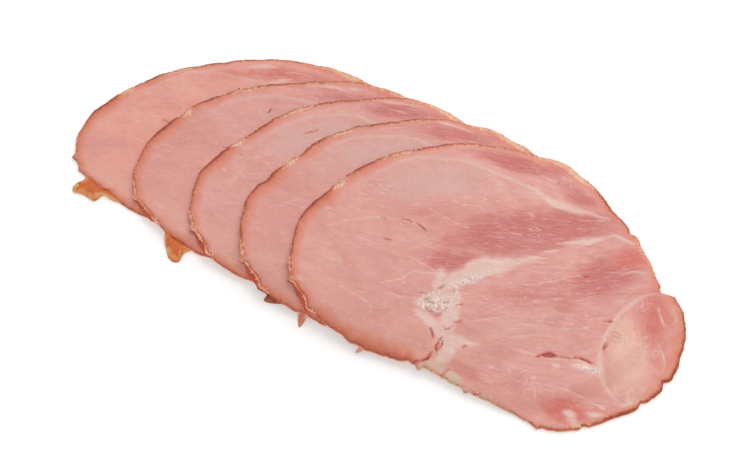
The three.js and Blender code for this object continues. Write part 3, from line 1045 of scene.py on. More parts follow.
    def raise_surface(self) -> None:
        """Works out the height of every point."""
        x, y = self.plan.T
        values, grains, inward = self.fields.values, self.grains, np.maximum(self.edge, 0)
        bare = self.row.bareness(self.index, x, y)
        base = self.row.underside(self.index, x, y)
        rim_girth = self.around * self.row.section.girth
        curl = self.LEAST_CURL + np.maximum(self.CURL.at(grains, rim_girth, rim_girth * 0), 0)
        lift = curl * bare * smooth(base, *self.LAID_ON_SLICES) * np.exp(-inward / self.CURL_REACH)
        swell = self.SWELL.at(grains, x, y) + self.RIPPLE.at(grains, x, y)
        fibres = self.FIBRES.at(grains, self.fields.along, self.fields.across, self.PLAIN_FIBRES + values["streak"])
        crumble = values["fat_share"] * self.FAT_RISE + self.CURD.at(grains, x, y, values["curd"])
        seams = (-self.SINEW_DIP * smooth(values["tendon"], *self.SINEW_EDGE)
                 - self.PIT_DIP * smooth(values["pit"], *self.PIT_EDGE))
        slits = (-self.SLIT_DIP * smooth(values["slit"], *self.SLIT_EDGE)
                 + self.SLIT_LIP * smooth(values["slit"], *self.LIP_EDGE))
        rounding = np.interp(self.around, *zip(*self.ROUNDING))
        shoulder = -self.SHOULDER * rounding**0.5 * np.clip(1 - inward / rounding, 0, 1) ** 2
        crusty = smooth(values["crust"], *self.CRUST_EDGE) * (self.CRUST.at(grains, x, y) + self.CRUST_RISE)
        shown = self.COVERED + (1 - self.COVERED) * bare
        top = base + SLICE_THICKNESS + ((swell + fibres + crumble + crusty) * shown + seams + slits * bare) + shoulder
        wall_wave = self.WALL_WAVE.at(grains, rim_girth, self.level * self.WALL_WAVE_DOWN)
        height = top + (base - top) * self.level + wall_wave * np.sin(np.pi * self.level)
        self.height = np.maximum(height + lift, 0)

    def rim_place(self, share: np.ndarray, out: float | np.ndarray) -> np.ndarray:
        """Finds places beside the rim.

        Args:
            share: shares of the way round.
            out: how far out from the rim they are, mm, negative for in.

        Returns:
            Their x and y in the row.
        """
        section = self.row.section
        offset = section.offset(self.index, share) + self.ragged(share) + out
        return self.row.place(self.index, section.point(share) + offset[:, None] * section.outward(share))

    def on_face(self, places: np.ndarray, above: float) -> np.ndarray:
        """Lifts places to the cut face.

        Args:
            places: their x and y in the row.
            above: how far above the face they end up, mm.

        Returns:
            Their x, y and z.
        """
        face = np.flatnonzero(self.level == 0)
        plan = self.plan[face]
        nearest = [face[np.argmin(((plan - place) ** 2).sum(1))] for place in places]
        return np.column_stack([places, self.height[nearest] + above])

    def write(self, material: bpy.types.Material) -> bpy.types.Object:
        """Writes the slice's mesh with its UV maps and fields.

        Args:
            material: the finish.

        Returns:
            The piece.
        """
        points = np.column_stack([self.plan, self.height])
        piece = write_mesh(f"{self.own.name}_meat", points, ring_faces(self.rings, self.AROUND), material)
        mesh = piece.data
        corners = np.zeros(len(mesh.loops), np.int32)
        mesh.loops.foreach_get("vertex_index", corners)
        fields = self.fields
        for lie, u, v in ((Lie.FREE, fields.x, fields.y), (Lie.FIBRE, fields.along, fields.across),
                          (Lie.SEAM, fields.seam_along, fields.seam_aside)):
            layer = mesh.uv_layers.new(name=lie.value)
            pairs = np.column_stack([u, v])[corners] / UV_SPAN + 0.5
            layer.data.foreach_set("uv", pairs.astype(np.float32).ravel())
        for name, value in self.fields.values.items():
            attribute = mesh.attributes.new(name, "FLOAT", "POINT")
            attribute.data.foreach_set("value", value.astype(np.float32))
        return piece


# ---- finishes ----

# Sockets of a mix node that mixes colours: the share, the colour under it and over it, and the result.
MIX_SHARE, MIX_UNDER, MIX_OVER, MIX_RESULT = 0, 6, 7, 2
# How far apart in the noise two patterns and two slices are, so that no two are alike.
PATTERN_STEP, SLICE_STEP = 3.7, 17.0
GAP_TURN, WET_TURN = 60, 99  # numbers of the grains that break up threads, and of the one that makes places moist
NOISE_SPREAD = 4  # a noise stays about a quarter off its middle, which this brings to 1
WET_IOR = 1.4  # of moist meat, fat and jelly


@dataclass(frozen=True)
class Stain:
    """A colour that lies over the cut face, where a field or a random grain is high enough."""

    colour: str
    low: float  # value where it starts
    high: float  # value where it is full
    strength: float = 1.0
    follows: str = ""  # the field that it follows; a random grain if empty
    within: str = ""  # a field that limits it, as a share
    ragged: float = 0.0  # how far its edge wanders, in the field's own unit
    pitch: float = 3.0  # mm, pitch of the grain across the fibres
    along: float = 1.0  # how much longer the grain is along them
    detail: float = 2.0
    warp: float = 0.0  # how far the grain is stirred
    lie: Lie = Lie.FIBRE
    threads: bool = False  # whether it shows as thin winding threads where the grain passes 0.5


# Cured lean meat: pink with rosier and paler clouds, streaked along the fibres by what the knife drew out, with a
# painted sheen over the paler muscle and painted glints on the round one.
LEAN_STAINS = (
    Stain("#cf8a80", 0.42, 0.70, 0.50, pitch=22, along=1.5, warp=0.8, lie=Lie.FREE),
    Stain("#e2b09d", 0.50, 0.74, 0.40, pitch=13, along=1.3, warp=0.8, lie=Lie.FREE),
    Stain("#cd8980", 0.50, 0.72, 0.40, pitch=4.5, along=2.0, warp=0.5),
    Stain("#e2b2a6", 0.52, 0.74, 0.35, pitch=3.0, along=1.8, warp=0.5),
    Stain("#e4b4a1", 0.05, 0.95, 0.88, follows="peach", ragged=0.1, pitch=6, lie=Lie.FREE),
    Stain("#e1aa97", 0.05, 0.95, 0.80, follows="warm", ragged=0.1, pitch=9),
    # Paler muscle: partly its own tone, partly a painted sheen that stands for the reflection of the light from
    # behind.
    Stain("#d0a9a1", 0.05, 1.00, 0.68, follows="pale", ragged=0.3, pitch=7, along=2),
    Stain("#c0645f", 0.05, 0.95, 0.90, follows="red", ragged=0.2, pitch=6, along=2.5, warp=0.8),
    Stain("#cf6557", 0.05, 0.95, 0.85, follows="flush", ragged=0.2, pitch=6, along=1.5, warp=0.8, lie=Lie.FREE),
    Stain("#c2706a", 0.50, 0.74, 0.40, within="streak", pitch=1.3, along=8, warp=0.4),
    Stain("#e1b1a6", 0.52, 0.76, 0.45, within="streak", pitch=1.2, along=8, warp=0.4),
    Stain("#edcabf", 0.62, 0.76, 0.42, within="streak", pitch=0.7, along=9, detail=1, warp=0.4),
    Stain("#ecc9bd", 0.80, 0.96, 0.38, within="lean_share", pitch=3.6, along=4, detail=1, warp=0.2, threads=True),
    Stain("#c98780", 0.54, 0.74, 0.35, pitch=1.0, along=3),
    Stain("#e8c0b5", 0.60, 0.76, 0.40, pitch=0.8, along=3),
    Stain("#d39785", 0.78, 0.95, 0.40, within="peach", pitch=4, detail=1, warp=0.6, lie=Lie.FREE, threads=True),
    # White specks on the round muscle: painted glints of moisture.
    Stain("#f5dfcf", 0.66, 0.73, 0.60, within="peach", pitch=1.2, along=1.2, detail=1, lie=Lie.FREE),
)
# Fat and gristle between the muscles: cream-pink and smooth, curdled white where it is widest. The curd carries
# painted highlights and painted shade in its dimples, and the pits are darkened with painted shade.
SEAM_STAINS = (
    Stain("#dcafa4", -2.0, 0.4, 0.40, follows="fat", ragged=1.0, pitch=3, along=2.5),
    Stain("#e3bcb0", -0.45, 0.6, 0.70, follows="tendon", ragged=0.5, pitch=1.3, along=4),
    Stain("#dfbdb1", -0.9, 1.3, 0.92, follows="fat", ragged=1.1, pitch=2.2, along=3),
    Stain("#d9aa9e", 0.50, 0.72, 0.45, within="fat_share", pitch=3.5, along=1.5, lie=Lie.FREE),
    Stain("#f0dbd0", 0.58, 0.72, 0.45, within="fat_share", pitch=0.9, along=4, lie=Lie.SEAM),
    # In the curd: greyer flecks are painted shade in its dimples; the white is partly the curd's own colour and
    # partly painted highlights.
    Stain("#c9a198", 0.52, 0.68, 0.65, within="curd", pitch=1.5, lie=Lie.FREE),
    Stain("#f5e8e0", 0.50, 0.62, 0.85, within="curd", pitch=1.0, along=1.3, lie=Lie.FREE),
    # Darker in the pits and furrows: painted shade in them.
    Stain("#b58079", -0.45, 0.35, 0.75, follows="pit", ragged=0.5, pitch=0.8, lie=Lie.FREE),
    Stain("#d2b6a0", -0.4, 0.6, 0.92, follows="cream", ragged=0.9, pitch=2.0, lie=Lie.FREE),
    Stain("#c3a596", 0.48, 0.66, 0.70, within="cream_share", pitch=5, lie=Lie.FREE),
    Stain("#d98a68", 0.85, 0.97, 0.60, within="cream_share", pitch=5, detail=1, lie=Lie.FREE, threads=True),
)
# The smoked outside: an orange stain that soaks in, yellow fat, and a thin brown skin.
RIM_STAINS = (
    Stain("#d8876e", 0.02, 0.45, 0.80, follows="blush", ragged=0.12, pitch=5, along=1.5, lie=Lie.FREE),
    Stain("#cb6b4c", 0.36, 0.90, 0.95, follows="blush", ragged=0.12, pitch=2.5, lie=Lie.FREE),
    Stain("#b0553a", 0.76, 1.05, 0.85, follows="blush", ragged=0.12, pitch=1.5, lie=Lie.FREE),
    Stain("#e2b292", -0.9, 0.9, 0.85, follows="gold", ragged=1.3, pitch=1.8, lie=Lie.FREE),
    Stain("#cf8a5f", 0.52, 0.68, 0.60, within="gold_share", pitch=1.4, along=2, lie=Lie.FREE),
    Stain("#f7e6d4", 0.58, 0.68, 0.75, within="gold_share", pitch=1.0, lie=Lie.FREE),
    Stain("#ac5034", -0.55, 0.60, 0.90, follows="crust", ragged=0.6, pitch=1.3, lie=Lie.FREE),
    Stain("#823722", 0.45, 1.30, 0.80, follows="crust", ragged=0.6, pitch=1.1, lie=Lie.FREE),
    Stain("#dd7f58", 0.10, 0.90, 1.00, follows="wall"),
    Stain("#eba982", 0.54, 0.72, 0.45, within="wall", pitch=2.1, lie=Lie.FREE),
    Stain("#b85434", 0.54, 0.72, 0.50, within="wall", pitch=1.5, lie=Lie.FREE),
    Stain("#dcc2ac", 0.10, 0.50, 0.95, follows="pale_wall", ragged=0.15, pitch=3, lie=Lie.FREE),
    Stain("#c55232", 0.10, 0.50, 0.95, follows="heel", ragged=0.15, pitch=2.5, lie=Lie.FREE),
    Stain("#a33c24", 0.54, 0.70, 0.60, within="heel", pitch=2.0, lie=Lie.FREE),
)
# Slits where the fibres have parted, their redder inside deepened with painted shade; pores; and white specks
# that are painted glints of moisture.
FLAW_STAINS = (
    Stain("#d0715c", -0.60, 0.20, 0.75, follows="slit", ragged=0.5, pitch=0.9, lie=Lie.FREE),
    # The slits' dark red inside: redder meat, deepened with painted shade.
    Stain("#a83e3a", -0.05, 0.50, 0.90, follows="slit", ragged=0.4, pitch=0.9, lie=Lie.FREE),
    Stain("#b2625b", 0.74, 0.80, 0.60, pitch=1.2, along=1.5, detail=1),
    # White specks: painted glints of moisture.
    Stain("#f3dcd2", 0.75, 0.81, 0.60, pitch=0.9, along=1.3, detail=1),
)


@dataclass(frozen=True)
class Ripple:
    """A random height that bump gives to the surface."""

    height: float  # mm
    pitch: float  # mm
    along: float = 1.0
    within: str = ""
    lie: Lie = Lie.FIBRE


# Cut fibres, the knife's fine smear, curdled fat and the crusty wall. Real fibres are finer than 0.9 mm: they are
# drawn coarser, because finer ones don't show.
RIPPLES = (
    Ripple(0.05, 0.9, 7.0), Ripple(0.045, 0.6, 1.0, "", Lie.FREE), Ripple(0.16, 0.9, 1.4, "curd", Lie.FREE),
    Ripple(0.12, 1.1, 1.0, "wall", Lie.FREE),
)
WETNESS = Ripple(0, 6.0, 1.5)  # the grain of moister and drier places, which has no height


@dataclass(frozen=True)
class CutHam:
    """Cured and smoked shoulder, sliced by machine: moist, softly glossy, and lit a little way in."""

    name: str
    lean: str
    seed: int
    stains: tuple[Stain, ...] = LEAN_STAINS + SEAM_STAINS + RIM_STAINS + FLAW_STAINS
    ripples: tuple[Ripple, ...] = RIPPLES
    roughness: tuple[float, float] = (0.34, 0.55)  # where it is moistest and driest
    wetness_from: tuple[float, float] = (0.35, 0.65)  # values of the grain where it is so
    lit_through: float = 0.2
    depth: float = 1.5  # mm that light goes in
    glow: tuple[float, float, float] = (1.0, 0.35, 0.25)  # how much further red light goes in than the rest
    thread_slope: float = 10.0  # how fast a thread fades beside its middle
    gap_pitch: float = 2.2  # how much longer a thread's broken and whole parts are than its own pitch
    gaps_from: tuple[float, float] = (0.45, 0.62)  # values of the grain from a gap to a whole thread
    gap_dip: float = 0.25

    def grain(self, tree: bpy.types.NodeTree, pattern: Stain | Ripple, detail: float, turn: int
              ) -> bpy.types.NodeSocket:
        """Adds a random grain.

        Args:
            tree: the material's tree.
            pattern: what gives its pitch in mm, how much longer it is along the fibres, and how it lies.
            detail: how many finer octaves lie over it.
            turn: its number, so that no two grains are alike.

        Returns:
            A socket with values round 0.5.
        """
        uv = add_node(tree, "ShaderNodeUVMap", {"uv_map": pattern.lie.value})
        depth = add_node(tree, "ShaderNodeAttribute", {"attribute_name": "depth"})
        plane = add_node(tree, "ShaderNodeVectorMath", {"operation": "MULTIPLY"}, {
            0: uv.outputs[0], 1: (UV_SPAN / (pattern.pitch * pattern.along), UV_SPAN / pattern.pitch, 0)})
        down = add_node(tree, "ShaderNodeMath", {"operation": "MULTIPLY_ADD"}, {
            0: depth.outputs["Fac"], 1: 1 / pattern.pitch, 2: PATTERN_STEP * turn + SLICE_STEP * self.seed})
        lift = add_node(tree, "ShaderNodeCombineXYZ", None, {2: down.outputs[0]})
        place = add_node(tree, "ShaderNodeVectorMath", {"operation": "ADD"}, {
            0: plane.outputs[0], 1: lift.outputs[0]})
        noise = add_node(tree, "ShaderNodeTexNoise", None, {
            "Vector": place.outputs[0], "Scale": 1.0, "Detail": detail, "Roughness": 0.55,
            "Distortion": getattr(pattern, "warp", 0.0)})
        return noise.outputs["Fac"]

    def thread(self, tree: bpy.types.NodeTree, stain: Stain, noise: bpy.types.NodeSocket, turn: int
               ) -> bpy.types.NodeSocket:
        """Adds nodes that turn a grain to thin threads, broken off here and there.

        Args:
            tree: the material's tree.
            stain: the stain.
            noise: its grain.
            turn: its number.

        Returns:
            A socket that reaches 1 along the threads.
        """
        away = add_node(tree, "ShaderNodeMath", {"operation": "SUBTRACT"}, {0: noise, 1: 0.5})
        away = add_node(tree, "ShaderNodeMath", {"operation": "ABSOLUTE"}, {0: away.outputs[0]})
        ridge = add_node(tree, "ShaderNodeMath", {"operation": "MULTIPLY_ADD"}, {
            0: away.outputs[0], 1: -self.thread_slope, 2: 1.0})
        gaps = self.grain(tree, Ripple(0, self.gap_pitch * stain.pitch, stain.along, "", stain.lie), 1.0,
                          turn + GAP_TURN)
        kept = add_node(tree, "ShaderNodeMapRange", None, {
            "Value": gaps, "From Min": self.gaps_from[0], "From Max": self.gaps_from[1], "To Min": -self.gap_dip,
            "To Max": 0.0})
        return add_node(tree, "ShaderNodeMath", None, {0: ridge.outputs[0], 1: kept.outputs[0]}).outputs[0]

    def cover(self, tree: bpy.types.NodeTree, stain: Stain, turn: int) -> bpy.types.NodeSocket:
        """Adds the nodes that say how much of a stain shows.

        Args:
            tree: the material's tree.
            stain: the stain.
            turn: its number.

        Returns:
            A socket from 0 to the stain's strength.
        """
        value = None
        if stain.follows:
            value = add_node(tree, "ShaderNodeAttribute", {"attribute_name": stain.follows}).outputs["Fac"]
        if stain.ragged or not stain.follows:
            noise = self.grain(tree, stain, stain.detail, turn)
            if stain.threads:
                noise = self.thread(tree, stain, noise, turn)
            if value is None:
                value = noise
            else:
                spread = NOISE_SPREAD * stain.ragged
                wander = add_node(tree, "ShaderNodeMath", {"operation": "MULTIPLY_ADD"}, {
                    0: noise, 1: spread, 2: -spread / 2})
                value = add_node(tree, "ShaderNodeMath", None, {0: value, 1: wander.outputs[0]}).outputs[0]
        shown = add_node(tree, "ShaderNodeMapRange", {"interpolation_type": "SMOOTHSTEP"}, {
            "Value": value, "From Min": stain.low, "From Max": stain.high, "To Max": stain.strength}).outputs[0]
        if stain.within:
            limit = add_node(tree, "ShaderNodeAttribute", {"attribute_name": stain.within})
            shown = add_node(tree, "ShaderNodeMath", {"operation": "MULTIPLY", "use_clamp": True}, {
                0: shown, 1: limit.outputs["Fac"]}).outputs[0]
        return shown

    def build(self) -> bpy.types.Material:
        """Builds the finish: stains over the lean meat's colour, ripples as bump, and a moist gloss.

        Returns:
            The material.
        """
        material = new_material(self.name)
        tree = material.node_tree
        colour = add_node(tree, "ShaderNodeRGB").outputs[0]
        colour.default_value = linear(self.lean)
        for turn, stain in enumerate(self.stains):
            shown = self.cover(tree, stain, turn)
            colour = add_node(tree, "ShaderNodeMix", {"data_type": "RGBA"}, {
                MIX_SHARE: shown, MIX_UNDER: colour, MIX_OVER: linear(stain.colour)}).outputs[MIX_RESULT]
        height = None
        for turn, ripple in enumerate(self.ripples):
            noise = self.grain(tree, ripple, 2.0, turn + len(self.stains))
            scaled = add_node(tree, "ShaderNodeMath", {"operation": "MULTIPLY"}, {0: noise, 1: ripple.height})
            if ripple.within:
                limit = add_node(tree, "ShaderNodeAttribute", {"attribute_name": ripple.within})
                scaled = add_node(tree, "ShaderNodeMath", {"operation": "MULTIPLY"}, {
                    0: scaled.outputs[0], 1: limit.outputs["Fac"]})
            if height is not None:
                scaled = add_node(tree, "ShaderNodeMath", None, {0: height, 1: scaled.outputs[0]})
            height = scaled.outputs[0]
        bump = add_node(tree, "ShaderNodeBump", None, {"Strength": 1.0, "Distance": MM, "Height": height})
        wet = self.grain(tree, WETNESS, 3.0, WET_TURN)
        roughness = add_node(tree, "ShaderNodeMapRange", None, {
            "Value": wet, "From Min": self.wetness_from[0], "From Max": self.wetness_from[1],
            "To Min": self.roughness[0], "To Max": self.roughness[1]})
        shader = add_node(tree, "ShaderNodeBsdfPrincipled", None, {
            "Base Color": colour, "Roughness": roughness.outputs[0], "IOR": WET_IOR, "Normal": bump.outputs[0],
            "Subsurface Weight": self.lit_through, "Subsurface Radius": self.glow,
            "Subsurface Scale": self.depth * MM})
        add_node(tree, "ShaderNodeOutputMaterial", None, {0: shader.outputs[0]})
        return material


@dataclass(frozen=True)
class MoistTrim:
    """What hangs on the rims, such as set juices, rind, crumbs of fat and shreds: wet, and partly see-through."""

    name: str
    colours: tuple[str, str, str]  # deep, middle and pale
    pitch: float  # mm from one tone to the next
    roughness: float
    lit_through: float
    depth: float  # mm that light goes in
    bump: float  # mm
    deepening: float = 0.28  # how far its tone sinks where it is thick
    tones_from: tuple[tuple[float, float], ...] = ((0.38, 0.5), (0.52, 0.68))  # where middle and pale come in
    lump_share: float = 0.6  # how much finer its lumps are than its tones
    glow: tuple[float, float, float] = (1.0, 0.45, 0.2)  # how much further red light goes in than the rest
    coat: float = 0.4
    coat_roughness: float = 0.12

    def build(self) -> bpy.types.Material:
        """Builds the finish: three tones in soft clouds under a wet coat.

        Returns:
            The material.
        """
        material = new_material(self.name)
        tree = material.node_tree
        place = add_node(tree, "ShaderNodeTexCoord").outputs["Object"]
        noise = add_node(tree, "ShaderNodeTexNoise", None, {
            "Vector": place, "Scale": 1 / (self.pitch * MM), "Detail": 3.0, "Distortion": 0.4})
        deep = add_node(tree, "ShaderNodeAttribute", {"attribute_name": "deep"})
        tone = add_node(tree, "ShaderNodeMath", {"operation": "MULTIPLY_ADD"}, {
            0: deep.outputs["Fac"], 1: -self.deepening, 2: noise.outputs["Fac"]}).outputs[0]
        colour = linear(self.colours[0])
        for (low, high), code in zip(self.tones_from, self.colours[1:]):
            shown = add_node(tree, "ShaderNodeMapRange", {"interpolation_type": "SMOOTHSTEP"}, {
                "Value": tone, "From Min": low, "From Max": high})
            colour = add_node(tree, "ShaderNodeMix", {"data_type": "RGBA"}, {
                MIX_SHARE: shown.outputs[0], MIX_UNDER: colour, MIX_OVER: linear(code)}).outputs[MIX_RESULT]
        lumps = add_node(tree, "ShaderNodeTexNoise", None, {
            "Vector": place, "Scale": 1 / (self.lump_share * self.pitch * MM), "Detail": 2.0})
        bump = add_node(tree, "ShaderNodeBump", None, {
            "Strength": 1.0, "Distance": self.bump * MM, "Height": lumps.outputs["Fac"]})
        shader = add_node(tree, "ShaderNodeBsdfPrincipled", None, {
            "Base Color": colour, "Roughness": self.roughness, "IOR": WET_IOR, "Normal": bump.outputs[0],
            "Subsurface Weight": self.lit_through, "Subsurface Radius": self.glow,
            "Subsurface Scale": self.depth * MM, "Coat Weight": self.coat, "Coat Roughness": self.coat_roughness})
        add_node(tree, "ShaderNodeOutputMaterial", None, {0: shader.outputs[0]})
        return material


# Set juices and rind, amber and almost clear at their thin edges.
AMBER_JELLY = MoistTrim("amber_jelly", ("#d0692f", "#db8f50", "#e0b484"), 4.0, 0.2, 0.5, 2.0, 0.25)
# A flake of smoked skin, dark brown where it is thick.
BROWN_RIND = MoistTrim("brown_rind", ("#97381d", "#b14f2b", "#cd7b4c"), 2.4, 0.32, 0.2, 1.0, 0.2)
# The loose strip of fat and skin along the heel of a slice, pale orange.
RIM_STRIP = MoistTrim("rim_strip", ("#d27b59", "#df9874", "#ecbc9d"), 2.2, 0.35, 0.2, 0.6, 0.12)
# Crumbs of cream and golden fat that the knife left.
FAT_CRUMB = MoistTrim("fat_crumb", ("#e0a486", "#ecc3a9", "#f4dfd0"), 1.0, 0.40, 0.0, 0.3, 0.05)
# Grains of nearly white fat in the widest seam.
WHITE_FAT = MoistTrim("white_fat", ("#eccbbf", "#f3ddd3", "#fbf1ea"), 1.2, 0.35, 0.0, 0.3, 0.05)


@dataclass(frozen=True)
class StudioFloor:
    """A matt white table top, lit a little from below, which keeps shadows on it faint."""

    colour: str = "#e2e2e1"
    roughness: float = 0.75
    glow: float = 0.3

    def build(self) -> bpy.types.Material:
        """Builds the finish.

        Returns:
            The material.
        """
        material = new_material("white_table")
        tree = material.node_tree
        shader = add_node(tree, "ShaderNodeBsdfPrincipled", None, {
            "Base Color": linear(self.colour), "Roughness": self.roughness,
            "Emission Color": (1.0, 1.0, 1.0, 1.0), "Emission Strength": self.glow})
        add_node(tree, "ShaderNodeOutputMaterial", None, {0: shader.outputs[0]})
        return material


# ---- what hangs on the rims and lies on the cut faces ----


class Growth:
    """A Geometry Nodes tree with named inputs, run once on a mesh of points or edges."""

    def __init__(self, name: str, inputs: dict[str, float | int]) -> None:
        """Starts the tree.

        Args:
            name: the tree's name.
            inputs: value of each named input.
        """
        self.tree = bpy.data.node_groups.new(name, "GeometryNodeTree")
        sockets = self.tree.interface
        sockets.new_socket("Geometry", in_out="INPUT", socket_type="NodeSocketGeometry")
        self.settings = {}
        for label, value in inputs.items():
            kind = "NodeSocketInt" if isinstance(value, int) else "NodeSocketFloat"
            self.settings[sockets.new_socket(label, in_out="INPUT", socket_type=kind).identifier] = value
        sockets.new_socket("Geometry", in_out="OUTPUT", socket_type="NodeSocketGeometry")
        self.inputs = add_node(self.tree, "NodeGroupInput").outputs

    def roughened(self, geometry: bpy.types.NodeSocket) -> bpy.types.NodeSocket:
        """Adds nodes that push every point about by a noise of the named scale and height.

        Args:
            geometry: the socket that it comes from.

        Returns:
            The socket of the roughened geometry.
        """
        where = add_node(self.tree, "GeometryNodeInputPosition")
        noise = add_node(self.tree, "ShaderNodeTexNoise", None, {
            "Vector": where.outputs[0], "Scale": self.inputs["Noise scale"], "Detail": 1.0})
        centred = add_node(self.tree, "ShaderNodeVectorMath", {"operation": "SUBTRACT"}, {
            0: noise.outputs["Color"], 1: (0.5, 0.5, 0.5)})
        push = add_node(self.tree, "ShaderNodeVectorMath", {"operation": "SCALE"}, {
            0: centred.outputs[0], "Scale": self.inputs["Noise height"]})
        return add_node(self.tree, "GeometryNodeSetPosition", None, {
            "Geometry": geometry, "Offset": push.outputs[0]}).outputs[0]

    def bake(self, geometry: bpy.types.NodeSocket, name: str, points: np.ndarray, edges: list,
             material: bpy.types.Material) -> bpy.types.Object:
        """Ends the tree and runs it.

        Args:
            geometry: what the tree has made.
            name: the piece's name.
            points: places that it starts from, mm.
            edges: pairs of those places that are joined.
            material: the finish.

        Returns:
            The piece, as a plain mesh.
        """
        single = add_node(self.tree, "GeometryNodeRealizeInstances", None, {0: geometry})
        soft = add_node(self.tree, "GeometryNodeSetShadeSmooth", None, {0: self.roughened(single.outputs[0])})
        painted = add_node(self.tree, "GeometryNodeSetMaterial", None, {
            "Geometry": soft.outputs[0], "Material": material})
        add_node(self.tree, "NodeGroupOutput", None, {0: painted.outputs[0]})
        mesh = bpy.data.meshes.new(name)
        mesh.from_pydata((points * MM).tolist(), edges, [])
        piece = bpy.data.objects.new(name, mesh)
        bpy.context.scene.collection.objects.link(piece)
        modifier = piece.modifiers.new("growth", "NODES")
        modifier.node_group = self.tree
        for identifier, value in self.settings.items():
            modifier[identifier] = value
        grown = piece.evaluated_get(bpy.context.evaluated_depsgraph_get())
        baked = bpy.data.meshes.new_from_object(grown)
        piece.modifiers.clear()
        piece.data = baked
        return piece


@dataclass
class Tongue:
    """A tongue of rind or set juices that hangs from the rim of a slice, thick in the middle."""

    index: int
    outline: tuple[tuple[float, float], ...]  # mm in the row
    finish: MoistTrim
    thickness: float = FLAP_THICKNESS
    around: int = 120
    rings: int = 14
    edge: float = 0.45  # mm thick where its crown ends
    least: float = 0.3  # mm thick at least
    tucked: float = 1.2  # mm thick where the slice lies on its root
    ragged: float = 0.05  # share of its width that its outline strays
    lumps: float = 0.5  # mm
    grit: float = 0.12  # mm
    lift: float = 0.05  # mm above what it lies on
    pitches: tuple[float, float, float] = (2.6, 3.4, 1.5)  # mm, of its outline's straying, its lumps and its grit
    free_from: tuple[float, float] = (0.1, 1.5)  # mm outside the slice's rim where it starts to be free, and is
    deep_to: tuple[float, float] = (0.35, 0.95)  # shares of the way out between which its tone turns pale

    def build(self, row: Row) -> bpy.types.Object:
        """Builds the tongue.

        Args:
            row: the slices as they lie.

        Returns:
            The piece.
        """
        grains = [Grain(Seed.TONGUE + 10 * self.index + k) for k in range(3)]
        at = np.arange(self.around) * len(self.outline) / self.around
        edge = catmull_rom(np.array(self.outline, float), True, at) + row.middle
        core = edge.mean(0)
        run = at * 3.0  # about mm, because the outline's points lie a few mm apart
        edge = edge + (edge - core) * (self.ragged * grains[0].at(run, run * 0, self.pitches[0]))[:, None]
        # Rings over its top, two round its edge and four on its underside.
        shares = np.concatenate([np.linspace(0.05, 1, self.rings), [1.03, 1.0], [0.95, 0.7, 0.4, 0.05]])
        levels = np.concatenate([np.ones(self.rings), [0.55, 0.15], np.zeros(4)])
        plan = (core + shares[:, None, None] * (edge - core)).reshape(-1, 2)
        plan = np.concatenate([plan, core[None], core[None]])
        levels = np.concatenate([np.repeat(levels, self.around), [1, 0]])
        share = np.concatenate([np.repeat(shares, self.around), [0, 0]])
        x, y = plan.T
        crown = np.sqrt(np.clip(1 - np.clip(share, 0, 1) ** 4, 0, 1))
        lumps = self.lumps * grains[1].at(x, y, self.pitches[1]) + self.grit * grains[2].at(x, y, self.pitches[2])
        top = self.edge + (self.thickness - self.edge) * crown + lumps * (0.3 + crown)
        free = smooth(distance_outside(row.rims[self.index], x, y), *self.free_from)
        top = self.tucked + (top - self.tucked) * free
        height = row.underside(self.index, x, y) + self.lift + levels * np.maximum(top, self.least)
        faces = ring_faces(len(shares), self.around)
        piece = write_mesh(f"{SLICES[self.index].name}_tongue", np.column_stack([plan, height]), faces,
                           self.finish.build())
        deep = piece.data.attributes.new("deep", "FLOAT", "POINT")
        deep.data.foreach_set("value", (1 - smooth(share, *self.deep_to)).astype(np.float32))
        return piece


TONGUES = (
    Tongue(0, ((-129, -51), (-127, -57.5), (-129, -61.5), (-127, -65.5), (-123.5, -65), (-119.5, -64.6),
               (-115.5, -64.6), (-113.5, -60.5), (-108, -60.3), (-102.5, -58.6), (-103, -53), (-116, -49)),
           AMBER_JELLY, 2.3),
    Tongue(1, ((-76, -57), (-75, -63.5), (-71.5, -67.5), (-67, -71.5), (-62, -71), (-62.2, -66), (-59.5, -62),
               (-60, -57), (-68, -55)), AMBER_JELLY, 2.3),
    Tongue(2, ((-24, -61), (-22.5, -64.6), (-18, -65), (-17.8, -67.6), (-13, -66.6), (-9, -64.4), (-9, -60),
               (-16, -59)), BROWN_RIND, 1.0),
    Tongue(3, ((-5, -59), (-1.5, -65), (2.6, -70.2), (3.6, -65), (6, -60), (0, -57)), RIM_STRIP, 0.9),
    Tongue(4, ((27, -58), (30.4, -65), (30, -68.6), (33.4, -65.8), (36, -60), (32, -57)), RIM_STRIP, 0.9),
)


